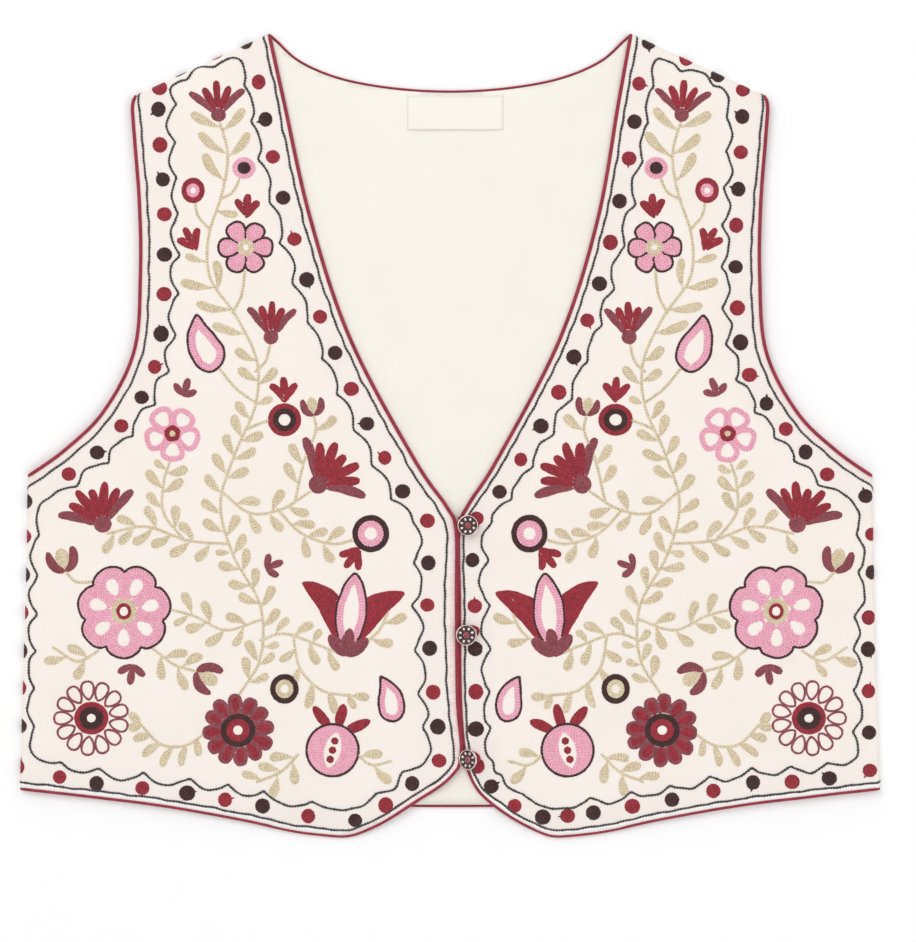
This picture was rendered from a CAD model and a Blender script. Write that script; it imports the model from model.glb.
"""Looks of the embroidered waistcoat that lies flat on its back, in metres, +Z up and +Y to the collar."""

import math

import bmesh
import bpy
import numpy as np
from mathutils import Matrix, Vector


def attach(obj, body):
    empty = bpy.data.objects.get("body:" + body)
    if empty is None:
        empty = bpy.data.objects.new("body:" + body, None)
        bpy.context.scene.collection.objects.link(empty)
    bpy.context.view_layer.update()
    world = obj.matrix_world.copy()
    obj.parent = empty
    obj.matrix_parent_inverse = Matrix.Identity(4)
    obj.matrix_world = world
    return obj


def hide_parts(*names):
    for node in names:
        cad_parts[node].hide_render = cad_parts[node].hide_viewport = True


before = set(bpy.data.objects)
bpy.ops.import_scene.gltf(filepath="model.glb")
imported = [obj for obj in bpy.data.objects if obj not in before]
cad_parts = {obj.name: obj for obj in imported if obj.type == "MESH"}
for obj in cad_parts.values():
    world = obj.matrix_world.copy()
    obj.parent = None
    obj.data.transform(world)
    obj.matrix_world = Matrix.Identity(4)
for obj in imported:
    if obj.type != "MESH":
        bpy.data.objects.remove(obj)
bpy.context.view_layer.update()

MM = 0.001
MERGE = 1e-6
SPLINE_STEPS = 12
# How far the lines of the outline run on past their ends, so that they cross each other
RUN_ON = 0.012
ARMHOLE_RUN_ON = 0.020
ARMHOLE_BESIDE_RUN_ON = 0.034

# Cloth walls, seams and trim
CAD_WALL = 0.0012
FRONT_WALL = 0.0009
BACK_WALL = 0.0009
LINING_WALL = 0.0006
CAD_LINING_WALL = 0.0010
LABEL_WALL = 0.00015
LABEL_GAP = 0.00005
SEAM_GAP = 0.0003
PIPING_RADIUS = 0.0011
# Towards the hem the fronts' piping grows thinner and lies further in.
HEM_PIPING_RADIUS = 0.00092
HEM_PIPING_INSET = 0.0006
HEM_PIPING_Y = -0.172
HEM_PIPING_RUN = 0.030
BACK_PIPING_RADIUS = 0.00075
BACK_PIPING_STEPS = 60
# The neck's piping goes on past the shoulder seam, and lifts over the fronts' edges there.
NECK_TUCK = 0.0070
TUCK_LIFT = PIPING_RADIUS * 1.2
TUCK_RUN = 0.006
# A thin shell ends this far inside the middle of its piping, and dips towards it.
TUCK_INSET = 0.0009
SEAM_DIP = 0.00025
SEAM_DIP_REACH = 0.0028

# Heights of the layers over the surface
BACK_MID = CAD_WALL / 2
LINING_BOTTOM = CAD_WALL + SEAM_GAP
LINING_TOP = LINING_BOTTOM + CAD_LINING_WALL
FRONT_MID = LINING_TOP + SEAM_GAP + PIPING_RADIUS
# From the middle of a front's wall to its face
FRONT_TOP = CAD_WALL / 2
# The right front rises over the left one, from a place (x, y) on, over the run in each way.
OVERLAP_LIFT = 0.00195
OVERLAP_START = (-0.020, -0.030)
OVERLAP_RUN = (0.018, 0.012)
# Past the back's hem the fronts drop to the surface.
HEM_DROP = FRONT_MID - PIPING_RADIUS
HEM_DROP_START = 0.002
HEM_DROP_RUN = 0.018

# The roll of the shoulder and side folds, measured at the middle of the solid wall
FOLD_RADIUS = 0.0019
FOLD_REACH = FOLD_RADIUS + CAD_WALL / 2
FOLD_STEPS = 12
TURNED_UNDER = 0.0050
# The cloth eases down to the folds over these lengths, and along the side from under the arm.
SHOULDER_EASE = 0.025
SIDE_EASE = 0.030
SIDE_TOP = 0.005
SIDE_TOP_RUN = 0.025

# Outline points (x, y) on the wearer's right, which the left mirrors
NECK_POINT = (-0.1053, 0.2337)
SHOULDER_TIP = (-0.1850, 0.1970)
ARMHOLE = (
    (-0.1818, 0.1985), (-0.1835, 0.1955), (-0.1842, 0.1910), (-0.1839, 0.1850), (-0.1828, 0.1700),
    (-0.1802, 0.1350), (-0.1796, 0.0950), (-0.1831, 0.0505), (-0.2008, 0.0150), (-0.2240, -0.0080),
    (-0.2480, -0.0250),
)
SIDE = ((-0.2450, -0.0215), (-0.2458, -0.0771), (-0.2478, -0.1467), (-0.2497, -0.2080))
# How many of the armhole's points make the hook at the shoulder
HOOK_POINTS = 3
HEM = ((-0.2500, -0.2045), (-0.2074, -0.2094), (-0.1650, -0.2148), (-0.1186, -0.2232), (-0.0902, -0.2297))
HEM_POINT = (-0.0590, -0.2332)

# The front edge of each side from the shoulder to the hem point. The right front overlaps.
RIGHT_EDGE = (
    (-0.1046, 0.2320), (-0.0966, 0.1955), (-0.0809, 0.1259), (-0.0577, 0.0563), (-0.0206, -0.0133),
    (-0.0020, -0.0405), (0.0035, -0.0540), (0.0038, -0.0945), (0.0044, -0.1525), (0.0067, -0.1850),
    (-0.0006, -0.1990), (-0.0174, -0.2105), (-0.0400, -0.2250),
)
LEFT_EDGE = (
    (0.1046, 0.2320), (0.0980, 0.1955), (0.0856, 0.1259), (0.0635, 0.0563), (0.0273, -0.0133),
    (0.0112, -0.0385), (0.0051, -0.0540), (0.0054, -0.0945), (0.0060, -0.1525), (0.0086, -0.1850),
    (0.0120, -0.1990), (0.0200, -0.2100), (0.0390, -0.2235),
)
NECK_END_Y = -0.0440
FRONT_CORNER_Y = -0.1920

# The back's neck, half of it from the shoulder to the middle, and the sag of its hem
BACK_NECK = ((-0.1020, 0.2311), (-0.0870, 0.2181), (-0.0635, 0.2083), (-0.0330, 0.2027), (0.0, 0.2008))
BACK_HEM_SIDE = -0.2050
BACK_HEM_SAG = 0.0094
HALF_HEM = 0.2500
BACK_HEM_POINTS = 24

# How many faces the fine shells have along their edges
ROWS_UPPER = 88
ROWS_LOWER = 58
COLUMNS_HEM = 62
COLUMNS_CUTAWAY = 26
CORNER_ROUNDS = 5
# How far from the middle each front's chest lies, which has to look up
CHEST_X = 0.12
BACK_ROWS_UPPER = 56
BACK_ROWS_LOWER = 44
BACK_NECK_COLUMNS = 36
BACK_HEM_COLUMNS = 48
BACK_GRID = 0.006

# Soft ridges in the laid cloth: middle, half length, half width, height, and turn from +X in degrees
RIDGES = (
    {"x": -0.205, "y": -0.120, "length": 0.060, "width": 0.014, "height": 0.0016, "turn": 62},
    {"x": -0.120, "y": -0.035, "length": 0.075, "width": 0.020, "height": 0.0011, "turn": 24},
    {"x": -0.070, "y": -0.165, "length": 0.050, "width": 0.016, "height": 0.0010, "turn": 108},
    {"x": -0.140, "y": 0.090, "length": 0.070, "width": 0.015, "height": 0.0011, "turn": 84},
    {"x": 0.190, "y": -0.140, "length": 0.070, "width": 0.015, "height": 0.0015, "turn": 104},
    {"x": 0.115, "y": -0.060, "length": 0.070, "width": 0.020, "height": 0.0012, "turn": 158},
    {"x": 0.080, "y": -0.170, "length": 0.050, "width": 0.016, "height": 0.0010, "turn": 70},
    {"x": 0.140, "y": 0.100, "length": 0.070, "width": 0.015, "height": 0.0010, "turn": 98},
)
# Small puckers that the needlework draws into the cloth, as waves: length, height, and turn in degrees
PUCKERS = (
    {"wave": 0.031, "height": 0.00013, "turn": 17},
    {"wave": 0.023, "height": 0.00011, "turn": 74},
    {"wave": 0.017, "height": 0.00009, "turn": 131},
    {"wave": 0.013, "height": 0.00007, "turn": 158},
)
# How far the waves bend, and in how many of their lengths they bend and fade
PUCKER_BEND = 1.3
BEND_LENGTHS = 2.7
FADE_LENGTHS = 4.1
# Faint creases in the lining, as for the ridges
LINING_CREASES = (
    {"x": -0.020, "y": 0.150, "length": 0.060, "width": 0.006, "height": 0.00035, "turn": 8},
    {"x": 0.030, "y": 0.085, "length": 0.055, "width": 0.007, "height": 0.00030, "turn": 172},
    {"x": -0.012, "y": 0.045, "length": 0.040, "width": 0.006, "height": 0.00030, "turn": 62},
    {"x": 0.018, "y": 0.010, "length": 0.032, "width": 0.005, "height": 0.00028, "turn": 118},
    {"x": 0.045, "y": 0.165, "length": 0.035, "width": 0.006, "height": 0.00026, "turn": 128},
)

# Buttons: middle of the face, its lean to +X and to +Y in degrees, and the shank's length.
# Loops, in millimetres: how far each reaches past its button's middle, and how far it leans up.
BUTTONS = (
    {"name": "top", "x": 0.0103, "y": -0.0512, "lean": (2, 0), "shank": 0.0034, "reach": 5.8, "rise": 0},
    {"name": "middle", "x": 0.0094, "y": -0.1145, "lean": (3, 2), "shank": 0.0036, "reach": 7.0, "rise": 2.2},
    {"name": "bottom", "x": 0.0099, "y": -0.1864, "lean": (-34, 0), "shank": 0.0050, "reach": 7.0, "rise": 0},
)
SHANK_RADIUS = 0.0012
HEAD_HEIGHT = 0.0027
# The parts of a button as (radius, height over the shank's top), each turned about its axis
HEAD_SECTION = (
    (0.0016, 0), (0.0046, 0.0004), (0.0057, 0.0010), (0.00596, 0.0016), (0.00600, 0.0021),
    (0.00592, 0.00245), (0.00573, 0.00260), (0.00552, 0.00260), (0.00536, 0.00245), (0.00530, 0.0020),
    (0.00520, 0.0017), (0, 0.0017),
)
COLLAR_SECTION = (
    (0.00148, 0.0019), (0.0017, 0.0019), (0.0017, 0.0025), (0.0016, 0.0026), (0.00148, 0.0025),
    (0.00148, 0.0019),
)
ENAMEL_SECTION = (
    (0, 0.0016), (0.00524, 0.0016), (0.00528, 0.0021), (0.0030, 0.00222), (0, 0.00228),
)
STONE_SECTION = (
    (0, 0.0020), (0.0015, 0.0021), (0.0015, 0.0026), (0.0011, 0.00295), (0.0006, 0.0031), (0, 0.00315),
)
PETALS = 8
PETAL_RADII = (0.00095, 0.00074, 0.00042)
PETAL_OUT = 0.00375
PETAL_RISE = 0.00236
LOOP_RADIUS = 0.0008
LOOP_HALF_WIDTH = 0.0042
LOOP_STEPS = 28
# A low power makes the loop's end blunt. Only the first part of its run lies on the piping.
LOOP_BLUNT = 0.8
LOOP_ON_PIPING = 0.4

# The label, left blank, under the back neck
LABEL_SIZE = (0.0560, 0.0200)
LABEL_MIDDLE = (0.0030, 0.1882)
LABEL_LIFT = 0.0009
LABEL_WAIST = 0.012
LABEL_FACES = (28, 12)

# Faint creases in the back, as for the ridges
BACK_CREASES = (
    {"x": -0.060, "y": 0.060, "length": 0.120, "width": 0.010, "height": 0.00030, "turn": 12},
    {"x": 0.070, "y": -0.040, "length": 0.110, "width": 0.012, "height": 0.00030, "turn": 164},
    {"x": -0.110, "y": -0.120, "length": 0.080, "width": 0.010, "height": 0.00028, "turn": 66},
    {"x": 0.120, "y": -0.150, "length": 0.070, "width": 0.010, "height": 0.00028, "turn": 112},
)

# The camera looks straight down, and sees 0.58 mm of the cloth's face in each pixel.
CAMERA_X = 0.0046
CAMERA_Y = -0.0197
CAMERA_HEIGHT = 1.522
LENS = 100
SENSOR = 36

# Soft studio light: name, place, width and power of each lamp, and the strength of the sky
LAMPS = (
    ("key_lamp", (-0.8, 0.9, 1.9), 1.6, 14.5),
    ("fill_lamp", (1.1, -0.6, 1.8), 1.6, 7.5),
)
SKY = 0.70
FLOOR_HALF_SIZE = 1.6
FLOOR_TOP = -0.0004

# A chain stitch's two strands, in metres, apart from their half length, which is a share of the stitch's.
# They are longer than the stitch, so that each overlaps the next.
STRAND_RADIUS = 0.00030
STRAND_HALF_SIZE = (0.86, STRAND_RADIUS * 1.15, STRAND_RADIUS * 0.62)
STRAND_SPREAD = 0.00026
STRAND_CLOSEST = 0.00006
STRAND_RISE = 0.00020
STRAND_TILT = 0.00008
# The thread below a filling's stitch, as shares of the stitch's length and of the space between rows
BELOW_LENGTH = 1.25
BELOW_WIDTH = 1.3
# How unevenly stitches are sewn
STITCH_LEAN = 0.05
STITCH_BREADTH = (0.88, 1.12)
# Half the step across a stitch that finds how the cloth lies there
CLOTH_STEP = 0.0004
# Threads that are thicker than the rest
THREAD_BREADTH = {"charcoal": 1.38, "aubergine": 1.22}
# How far past a fold's line stitches go round it, before they would reach the underside
STITCH_LIMIT = 0.0062

# The needlework is drawn in millimetres. The first two are a stitch's length and the space between rows,
# both a little coarse, so that they show at this size.
STITCH = 1.7
ROW = 0.95
# How closely a shape's edge is followed, and the turn between rows' courses at an inward corner
EDGE_STEP = 0.45
FAN_STEP = 0.15
# Rows shorter than this are left out, and rows whose ends lie nearer than this are closed.
SHORTEST_ROW = 0.35
CLOSING_GAP = 1.4
NO_LIMIT = 99.0
# Each row of a stem lies this far from its middle, and a stem's course is kept at these steps.
STEM_STEPS = 14
STEM_SPREAD = 0.20
STEM_MARKS = 1.5
HEADING_STEP = 1.5
STEM_GAP = 0.9
# How far hand stitching wanders: the edge of a shape, the scalloped line and the plain line
SHAPE_WANDER = 0.35
SCALLOP_WANDER = 0.75
PLAIN_WANDER = 0.45
WANDER_WAVES = (11.0, 19.0, 31.0)
DOT_RADIUS = 4.15
DOT_SHIFT = 0.3
# How many of the dots have a tail of thread, and how far it sticks out
TAIL_SHARE = 0.35
TAIL_LENGTH = 1.0
LEAF_WIDTH = 5.2
LEAF_GAP = 1.3
# How far up the scrolling stem its short leaves go, and how far from its tip that is
TRUNK_LOWER = 222.0
TRUNK_UPPER = 150.0
# How far a leaf leans from its stem, and its share of the full size, tried in turn until there is room
LEAF_TRIES = ((46, 1.0), (60, 0.95), (34, 0.9), (50, 0.72), (72, 0.66))

# The dots' middles round each front, as guide points in millimetres and the number of steps to the next.
# They start at the neck, go down the edge and along the hem, then up the side and armhole to the shoulder.
DOT_GUIDES = {
    "right": (
        (-110.8, 205.9, 2), (-102.7, 162.4, 3), (-82.9, 91.6, 3), (-57.4, 27.8, 3), (-27.3, -31.3, 1),
        (-12.8, -48.7, 2), (-13.3, -97.4, 2), (-9.9, -147.9, 2), (-6.4, -187.3, 1), (-22.0, -200.7, 2),
        (-55.1, -222.1, 2), (-109.0, -214.0, 2), (-152.5, -206.5, 2), (-204.7, -200.7, 1),
        (-226.2, -197.2, 1), (-250.6, -191.4, 1), (-249.8, -167.6, 4), (-247.8, -80.0, 1),
        (-246.8, -58.0, 1), (-246.6, -37.1, 1), (-221.0, -21.5, 1), (-204.7, -9.3, 2), (-178.6, 23.2, 2),
        (-167.6, 59.7, 3), (-165.9, 129.3, 3), (-169.4, 189.7, 1), (-168.8, 202.4, 1),
        (-157.6, 213.9, 1), (-136.7, 223.5, 1), (-118.6, 229.2, 1),
    ),
    "left": (
        (109.4, 204.6, 2), (103.5, 161.3, 3), (86.6, 88.9, 3), (63.0, 25.8, 3), (28.7, -31.5, 1),
        (15.7, -46.9, 1), (13.0, -71.1, 1), (14.5, -97.7, 2), (14.8, -147.9, 2), (16.1, -190.6, 1),
        (24.0, -202.4, 1), (37.3, -213.5, 1), (53.9, -220.2, 2), (82.9, -218.0, 2), (128.9, -210.2, 2),
        (175.9, -200.3, 1), (198.2, -199.6, 1), (219.7, -197.8, 1), (243.2, -193.3, 1),
        (242.9, -171.1, 1), (242.4, -147.0, 1), (242.4, -123.0, 1), (242.7, -104.8, 1),
        (245.0, -78.3, 1), (244.3, -56.3, 1), (240.9, -34.1, 1), (218.7, -21.5, 2), (194.9, 4.8, 2),
        (173.8, 35.8, 2), (166.3, 75.0, 2), (166.2, 122.8, 3), (169.7, 186.1, 1), (169.6, 201.0, 1),
        (155.4, 209.7, 1), (137.1, 219.3, 1), (115.3, 228.8, 1),
    ),
}
# How many dots there are before the side, where the colours start again, and those with no cusp beside them
FRONT_DOTS = {"right": 29, "left": 30}
NO_CUSP = {"right": (18, 21, 29, 36, 49, 52), "left": (21, 22, 30, 37, 50, 53)}
# How far in from the dots the scalloped line's cusps lie, in metres
SCALLOP_DEPTH = 0.0088
# The dots beside the neck, where the scallops are shallower
NECK_DOTS = 11
# How far a scallop bulges, as a share of its width: round a corner, beside the neck and elsewhere
CORNER_SHARE = 0.50
NECK_SHARE = 0.16
SCALLOP_SHARE = 0.21
BULGE_LIMIT = 10.5
# Cusps beside the shoulder's dots, set by hand in millimetres
CUSP_AT = {
    "right": {48: (-159.1, 193.0), 50: (-152.5, 207.0), 51: (-136.1, 214.2)},
    "left": {49: (159.5, 185.4), 51: (152.6, 204.0), 52: (133.9, 211.8)},
}
# How far the scalloped line bulges round corners of the hem and shoulder, in millimetres
CORNER_BULGE = {"right": {20: 7.5, 48: 6.4, 51: 11.5}, "left": {20: 8.1, 49: 6.0, 52: 13.0}}
# The plain line's inset from the middle of the piping, in millimetres, at heights in metres
EDGE_LINE_INSET = {
    "right": (
        (0.24, 3.7), (0.206, 3.2), (0.18, 3.9), (0.0, 4.4), (-0.049, 5.2), (-0.095, 7.1), (-0.148, 5.9),
        (-0.190, 4.2), (-0.24, 4.2),
    ),
    "left": ((0.24, 4.2), (0.05, 4.0), (-0.03, 3.6), (-0.06, 2.9), (-0.19, 2.9), (-0.21, 3.8), (-0.24, 4.2)),
}
HEM_LINE_INSET = 0.0044
# How far past the folds the plain lines are drawn
LINE_BEYOND = 0.0060
ARMHOLE_LINE_INSET = {
    "right": ((0.24, 4.0), (0.19, 4.2), (0.12, 5.0), (-0.05, 5.2)),
    "left": ((0.24, 3.0), (0.19, 3.2), (0.15, 3.6), (0.10, 5.0), (-0.05, 5.2)),
}

# The threads, each with the colour of its lit and of its deeper stitches
THREADS = {
    "charcoal": ("#5C5A5C", "#302E30"),
    "crimson": ("#B92B3E", "#8F1F2D"),
    "aubergine": ("#512927", "#331718"),
    "mauve": ("#AB545F", "#874049"),
    "pink": ("#FFC6D8", "#FBACC4"),
    "beige": ("#F5E7CA", "#E0CDA8"),
}
AUBERGINE = (("aubergine", 0),)
BEIGE = (("beige", 0),)
CRIMSON = (("crimson", 0),)
MAUVE = (("mauve", 0),)

# Woven cloths: the colour and its deeper tone, the spacing of threads and of slubs in millimetres, and how
# much they stand out and catch a soft sheen. Threads are drawn coarse, so that they show.
CREAM_COTTON = ("#F8F0E8", "#F3E8DD", 0.7, 1.1, 0.35, 0.08)
LINING_VOILE = ("#F6F2E8", "#F2EDE1", 0.5, 0.9, 0.25, 0.05)
LABEL_TAPE = ("#F9F4EA", "#F3ECE0", 0.45, 0.8, 0.25, 0.05)
# The wave texture's scale for bands one millimetre apart
WAVE_MM = 314.0
# The sockets of the node that maps one range to another, in order
RANGE = ("Value", "From Min", "From Max", "To Min", "To Max")


def linear(hex_colour):
    """An sRGB hex colour as the linear colour that a shader takes."""
    parts = [int(hex_colour[i : i + 2], 16) / 255 for i in (1, 3, 5)]
    return (*[p / 12.92 if p <= 0.04045 else ((p + 0.055) / 1.055) ** 2.4 for p in parts], 1.0)


def connect(tree, node, links):
    """Gives a node's sockets a value, or another node's output as (node, socket)."""
    for socket, value in links.items():
        if isinstance(value, tuple) and isinstance(value[0], bpy.types.Node):
            tree.links.new(value[0].outputs[value[1]], node.inputs[socket])
        else:
            node.inputs[socket].default_value = value


def add(tree, kind, links=None, **settings):
    """Adds a node with its settings and its links."""
    made = tree.nodes.new(kind)
    for name, value in settings.items():
        setattr(made, name, value)
    connect(tree, made, links or {})
    return made


def smoothstep(value):
    t = np.clip(value, 0.0, 1.0)
    return t * t * (3 - 2 * t)


def unit(vector):
    return vector / np.linalg.norm(vector)


def units(vectors):
    return vectors / np.linalg.norm(vectors, axis=1)[:, None]


def closed(line):
    """The line with its first point added at its end."""
    return np.vstack([line, line[:1]])


def rounded(line, rounds):
    """The line with its corners rounded a little, and its ends kept."""
    for _ in range(rounds):
        line[1:-1] = (line[:-2] + 2 * line[1:-1] + line[2:]) / 4
    return line


def spline(points, steps=SPLINE_STEPS):
    """A smooth line through points in the plan, as Catmull and Rom's curve, with steps in each stretch."""
    known = np.array(points, float)
    ends = np.vstack([2 * known[0] - known[1], known, 2 * known[-1] - known[-2]])
    t = np.arange(steps)[:, None] / steps
    line = []
    for i in range(len(known) - 1):
        a, b, c, d = ends[i : i + 4]
        square, cube = 2 * a - 5 * b + 4 * c - d, 3 * b - a - 3 * c + d
        line.append(0.5 * (2 * b + (c - a) * t + square * t**2 + cube * t**3))
    return np.vstack([*line, known[-1]])


def lengthened(line, by=RUN_ON):
    """The line with a straight run added at each end."""
    first, last = unit(line[0] - line[1]), unit(line[-1] - line[-2])
    return np.vstack([line[0] + by * first, line, line[-1] + by * last])


def normals_of(line):
    """At each point, the direction to the line's left."""
    along = units(np.gradient(line, axis=0))
    return np.column_stack([-along[:, 1], along[:, 0]])


def crossing(first, second):
    """Where two lines cross, as the place's number in the first line and the point itself."""
    for i in range(len(first) - 1):
        p, r = first[i], first[i + 1] - first[i]
        q, s = second[:-1], np.diff(second, axis=0)
        turn = r[0] * s[:, 1] - r[1] * s[:, 0]
        # Parallel stretches don't cross.
        turn[turn == 0] = 1e-12
        gap = q - p
        t = (gap[:, 0] * s[:, 1] - gap[:, 1] * s[:, 0]) / turn
        u = (gap[:, 0] * r[1] - gap[:, 1] * r[0]) / turn
        found = np.flatnonzero((t >= 0) & (t <= 1) & (u >= 0) & (u <= 1))
        if len(found):
            return i, p + t[found[0]] * r
    raise ValueError("two edges of the outline don't meet")


def between(line, before, after):
    """The stretch of a line from where it crosses one line to where it crosses another."""
    start, first = crossing(line, before)
    end, last = crossing(line, after)
    return np.vstack([first, line[start + 1 : end + 1], last])


def above_and_below(line, y):
    """A falling line cut in two at height y."""
    at = int(np.argmax(line[:, 1] < y))
    share = (line[at - 1, 1] - y) / (line[at - 1, 1] - line[at, 1])
    cut = line[at - 1] + share * (line[at] - line[at - 1])
    return np.vstack([line[:at], cut]), np.vstack([cut, line[at:]])


def lengths_along(line):
    return np.concatenate([[0.0], np.cumsum(np.linalg.norm(np.diff(line, axis=0), axis=1))])


def at_lengths(line, places):
    sums = lengths_along(line)
    return np.column_stack([np.interp(places, sums, line[:, k]) for k in range(line.shape[1])])


def resample(line, count):
    """The points that part a line into count equal steps."""
    return at_lengths(line, np.linspace(0, lengths_along(line)[-1], count + 1))


def patch(top, bottom, left, right):
    """Rows of points that fill four lines, as Coons' patch. top and bottom run from left to right."""
    v = np.linspace(0, 1, len(left))[:, None, None]
    u = np.linspace(0, 1, len(top))[None, :, None]
    sides = (1 - u) * left[:, None] + u * right[:, None]
    ends = (1 - v) * top[None] + v * bottom[None]
    corners = (1 - v) * ((1 - u) * top[0] + u * top[-1]) + v * ((1 - u) * bottom[0] + u * bottom[-1])
    return sides + ends - corners


def mirrored(points):
    return tuple((-x, y) for x, y in points)


def back_hem_y(x):
    return BACK_HEM_SIDE - BACK_HEM_SAG * (1 - (x / HALF_HEM) ** 2)


class Half:
    """The plan lines of one side of the waistcoat: sign is -1 on the wearer's right and 1 on the left."""

    def __init__(self, sign):
        flipped = mirrored if sign > 0 else tuple
        self.sign = sign
        self.name = "left" if sign > 0 else "right"
        self.overlapping = sign < 0
        self.armhole = lengthened(spline(flipped(ARMHOLE)), ARMHOLE_RUN_ON)
        # The plain line beside the armhole runs straight on where the edge hooks in at the shoulder.
        self.armhole_beside = lengthened(spline(flipped(ARMHOLE[HOOK_POINTS:])), ARMHOLE_BESIDE_RUN_ON)
        self.side = lengthened(spline(flipped(SIDE)))
        self.hem = lengthened(spline((*flipped(HEM), *flipped((HEM_POINT,)))))
        edge = RIGHT_EDGE if self.overlapping else LEFT_EDGE
        self.edge = lengthened(spline((*edge, *flipped((HEM_POINT,)))))
        self.shoulder = lengthened(np.array(flipped((SHOULDER_TIP, NECK_POINT))))
        # The neck's line goes on past the middle, so that both sides meet without a kink.
        neck = flipped(BACK_NECK)
        self.back_neck = lengthened(spline((*neck, *mirrored(neck[-2:-1])))[:-SPLINE_STEPS])[:-1]
        half_hem = HALF_HEM * (1 - np.arange(BACK_HEM_POINTS + 1) / BACK_HEM_POINTS)
        self.back_hem = np.column_stack([sign * half_hem, back_hem_y(half_hem)])

    def at(self, name, inset):
        """The named line moved into the garment."""
        line = getattr(self, name)
        to_right = name in ("edge", "shoulder", "back_neck")
        return line + inset * (self.sign if to_right else -self.sign) * normals_of(line)

    def past_fold(self, plan):
        """How far points lie past the shoulder or side fold's line, and which way is out."""
        tip, neck = self.at("shoulder", FOLD_REACH)[[0, -1]]
        up = unit(neck - tip)
        up = np.array([-up[1], up[0]]) * (-self.sign)
        over_shoulder = (plan - tip) @ up
        side = self.at("side", FOLD_REACH)[::-1]
        over_side = np.abs(plan[:, 0]) - np.interp(plan[:, 1], side[:, 1], np.abs(side[:, 0]))
        over_side = np.where(plan[:, 1] < 0, over_side, -1.0)
        out = np.where((over_shoulder > over_side)[:, None], up, np.array([self.sign, 0.0]))
        return np.maximum(over_shoulder, over_side), out


def swell(rows, x, y):
    """The height of soft ridges at places in the plan."""
    total = np.zeros_like(x)
    for row in rows:
        turn = math.radians(row["turn"])
        dx, dy = x - row["x"], y - row["y"]
        along = (dx * math.cos(turn) + dy * math.sin(turn)) / row["length"]
        across = (dy * math.cos(turn) - dx * math.sin(turn)) / row["width"]
        total = total + row["height"] * np.exp(-(along**2) - across**2)
    return total


def puckers(x, y):
    """Uneven little waves, which fade in and out over the cloth."""
    total = np.zeros_like(x)
    for k, row in enumerate(PUCKERS):
        turn = math.radians(row["turn"])
        along = x * math.cos(turn) + y * math.sin(turn)
        across = y * math.cos(turn) - x * math.sin(turn)
        bend = PUCKER_BEND * np.sin(2 * math.pi * across / (BEND_LENGTHS * row["wave"]) + 1.7 * k)
        fade = 0.55 + 0.45 * np.sin(2 * math.pi * across / (FADE_LENGTHS * row["wave"]) + 0.9 * k)
        total = total + row["height"] * fade * np.sin(2 * math.pi * along / row["wave"] + bend)
    return total


def fold_nearness(x, y):
    """1 on the shoulder or side fold, falling to 0 a few centimetres in."""
    tip, neck = np.array(SHOULDER_TIP), np.array(NECK_POINT)
    along = unit(neck - tip)
    from_shoulder = along[0] * (tip[1] - y) - along[1] * (tip[0] + np.abs(x))
    from_side = -SIDE[1][0] - np.abs(x)
    below_arm = smoothstep((SIDE_TOP - y) / SIDE_TOP_RUN)
    near_side = (1 - smoothstep((from_side - FOLD_REACH) / SIDE_EASE)) * below_arm
    near_shoulder = 1 - smoothstep((from_shoulder - FOLD_REACH) / SHOULDER_EASE)
    return np.maximum(near_side, near_shoulder)


def front_height(x, y, overlapping):
    """How high the middle of a front's solid wall lies over the surface."""
    near = fold_nearness(x, y)
    lift = (BACK_MID + 2 * FOLD_RADIUS - FRONT_MID) * near
    drop = HEM_DROP * smoothstep((back_hem_y(x) - HEM_DROP_START - y) / HEM_DROP_RUN)
    height = FRONT_MID + lift - drop + (swell(RIDGES, x, y) + puckers(x, y)) * (1 - near)
    if overlapping:
        over = smoothstep((x - OVERLAP_START[0]) / OVERLAP_RUN[0])
        height = height + OVERLAP_LIFT * over * smoothstep((OVERLAP_START[1] - y) / OVERLAP_RUN[1])
    return height


def on_front(half, plan, lift):
    """Points on a front's outer face, raised by lift, for points in its plan. They go round its folds."""
    past, out = half.past_fold(plan)
    past = np.maximum(past, 0.0)
    base = plan - past[:, None] * out
    middle = front_height(base[:, 0], base[:, 1], half.overlapping)
    roll = (middle - BACK_MID) / 2
    reach = roll + FRONT_TOP + lift
    angle = past / (roll + FRONT_TOP)
    plan = base + out * (reach * np.sin(angle))[:, None]
    height = np.where(past > 0, BACK_MID + roll + reach * np.cos(angle), middle + FRONT_TOP + lift)
    return np.column_stack([plan, height])


def fold_rows(fold, outer, seam, overlapping, low):
    """Rows of points from the seam on the underside, round the roll, to the fold line at the top."""
    rows = [np.column_stack([seam, np.full(len(seam), low)])]
    radius = (front_height(fold[:, 0], fold[:, 1], overlapping) - low) / 2
    for k in range(FOLD_STEPS):
        angle = math.pi * k / FOLD_STEPS
        plan = fold + math.sin(angle) * (outer - fold)
        rows.append(np.column_stack([plan, low + radius - radius * math.cos(angle)]))
    return rows


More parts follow.
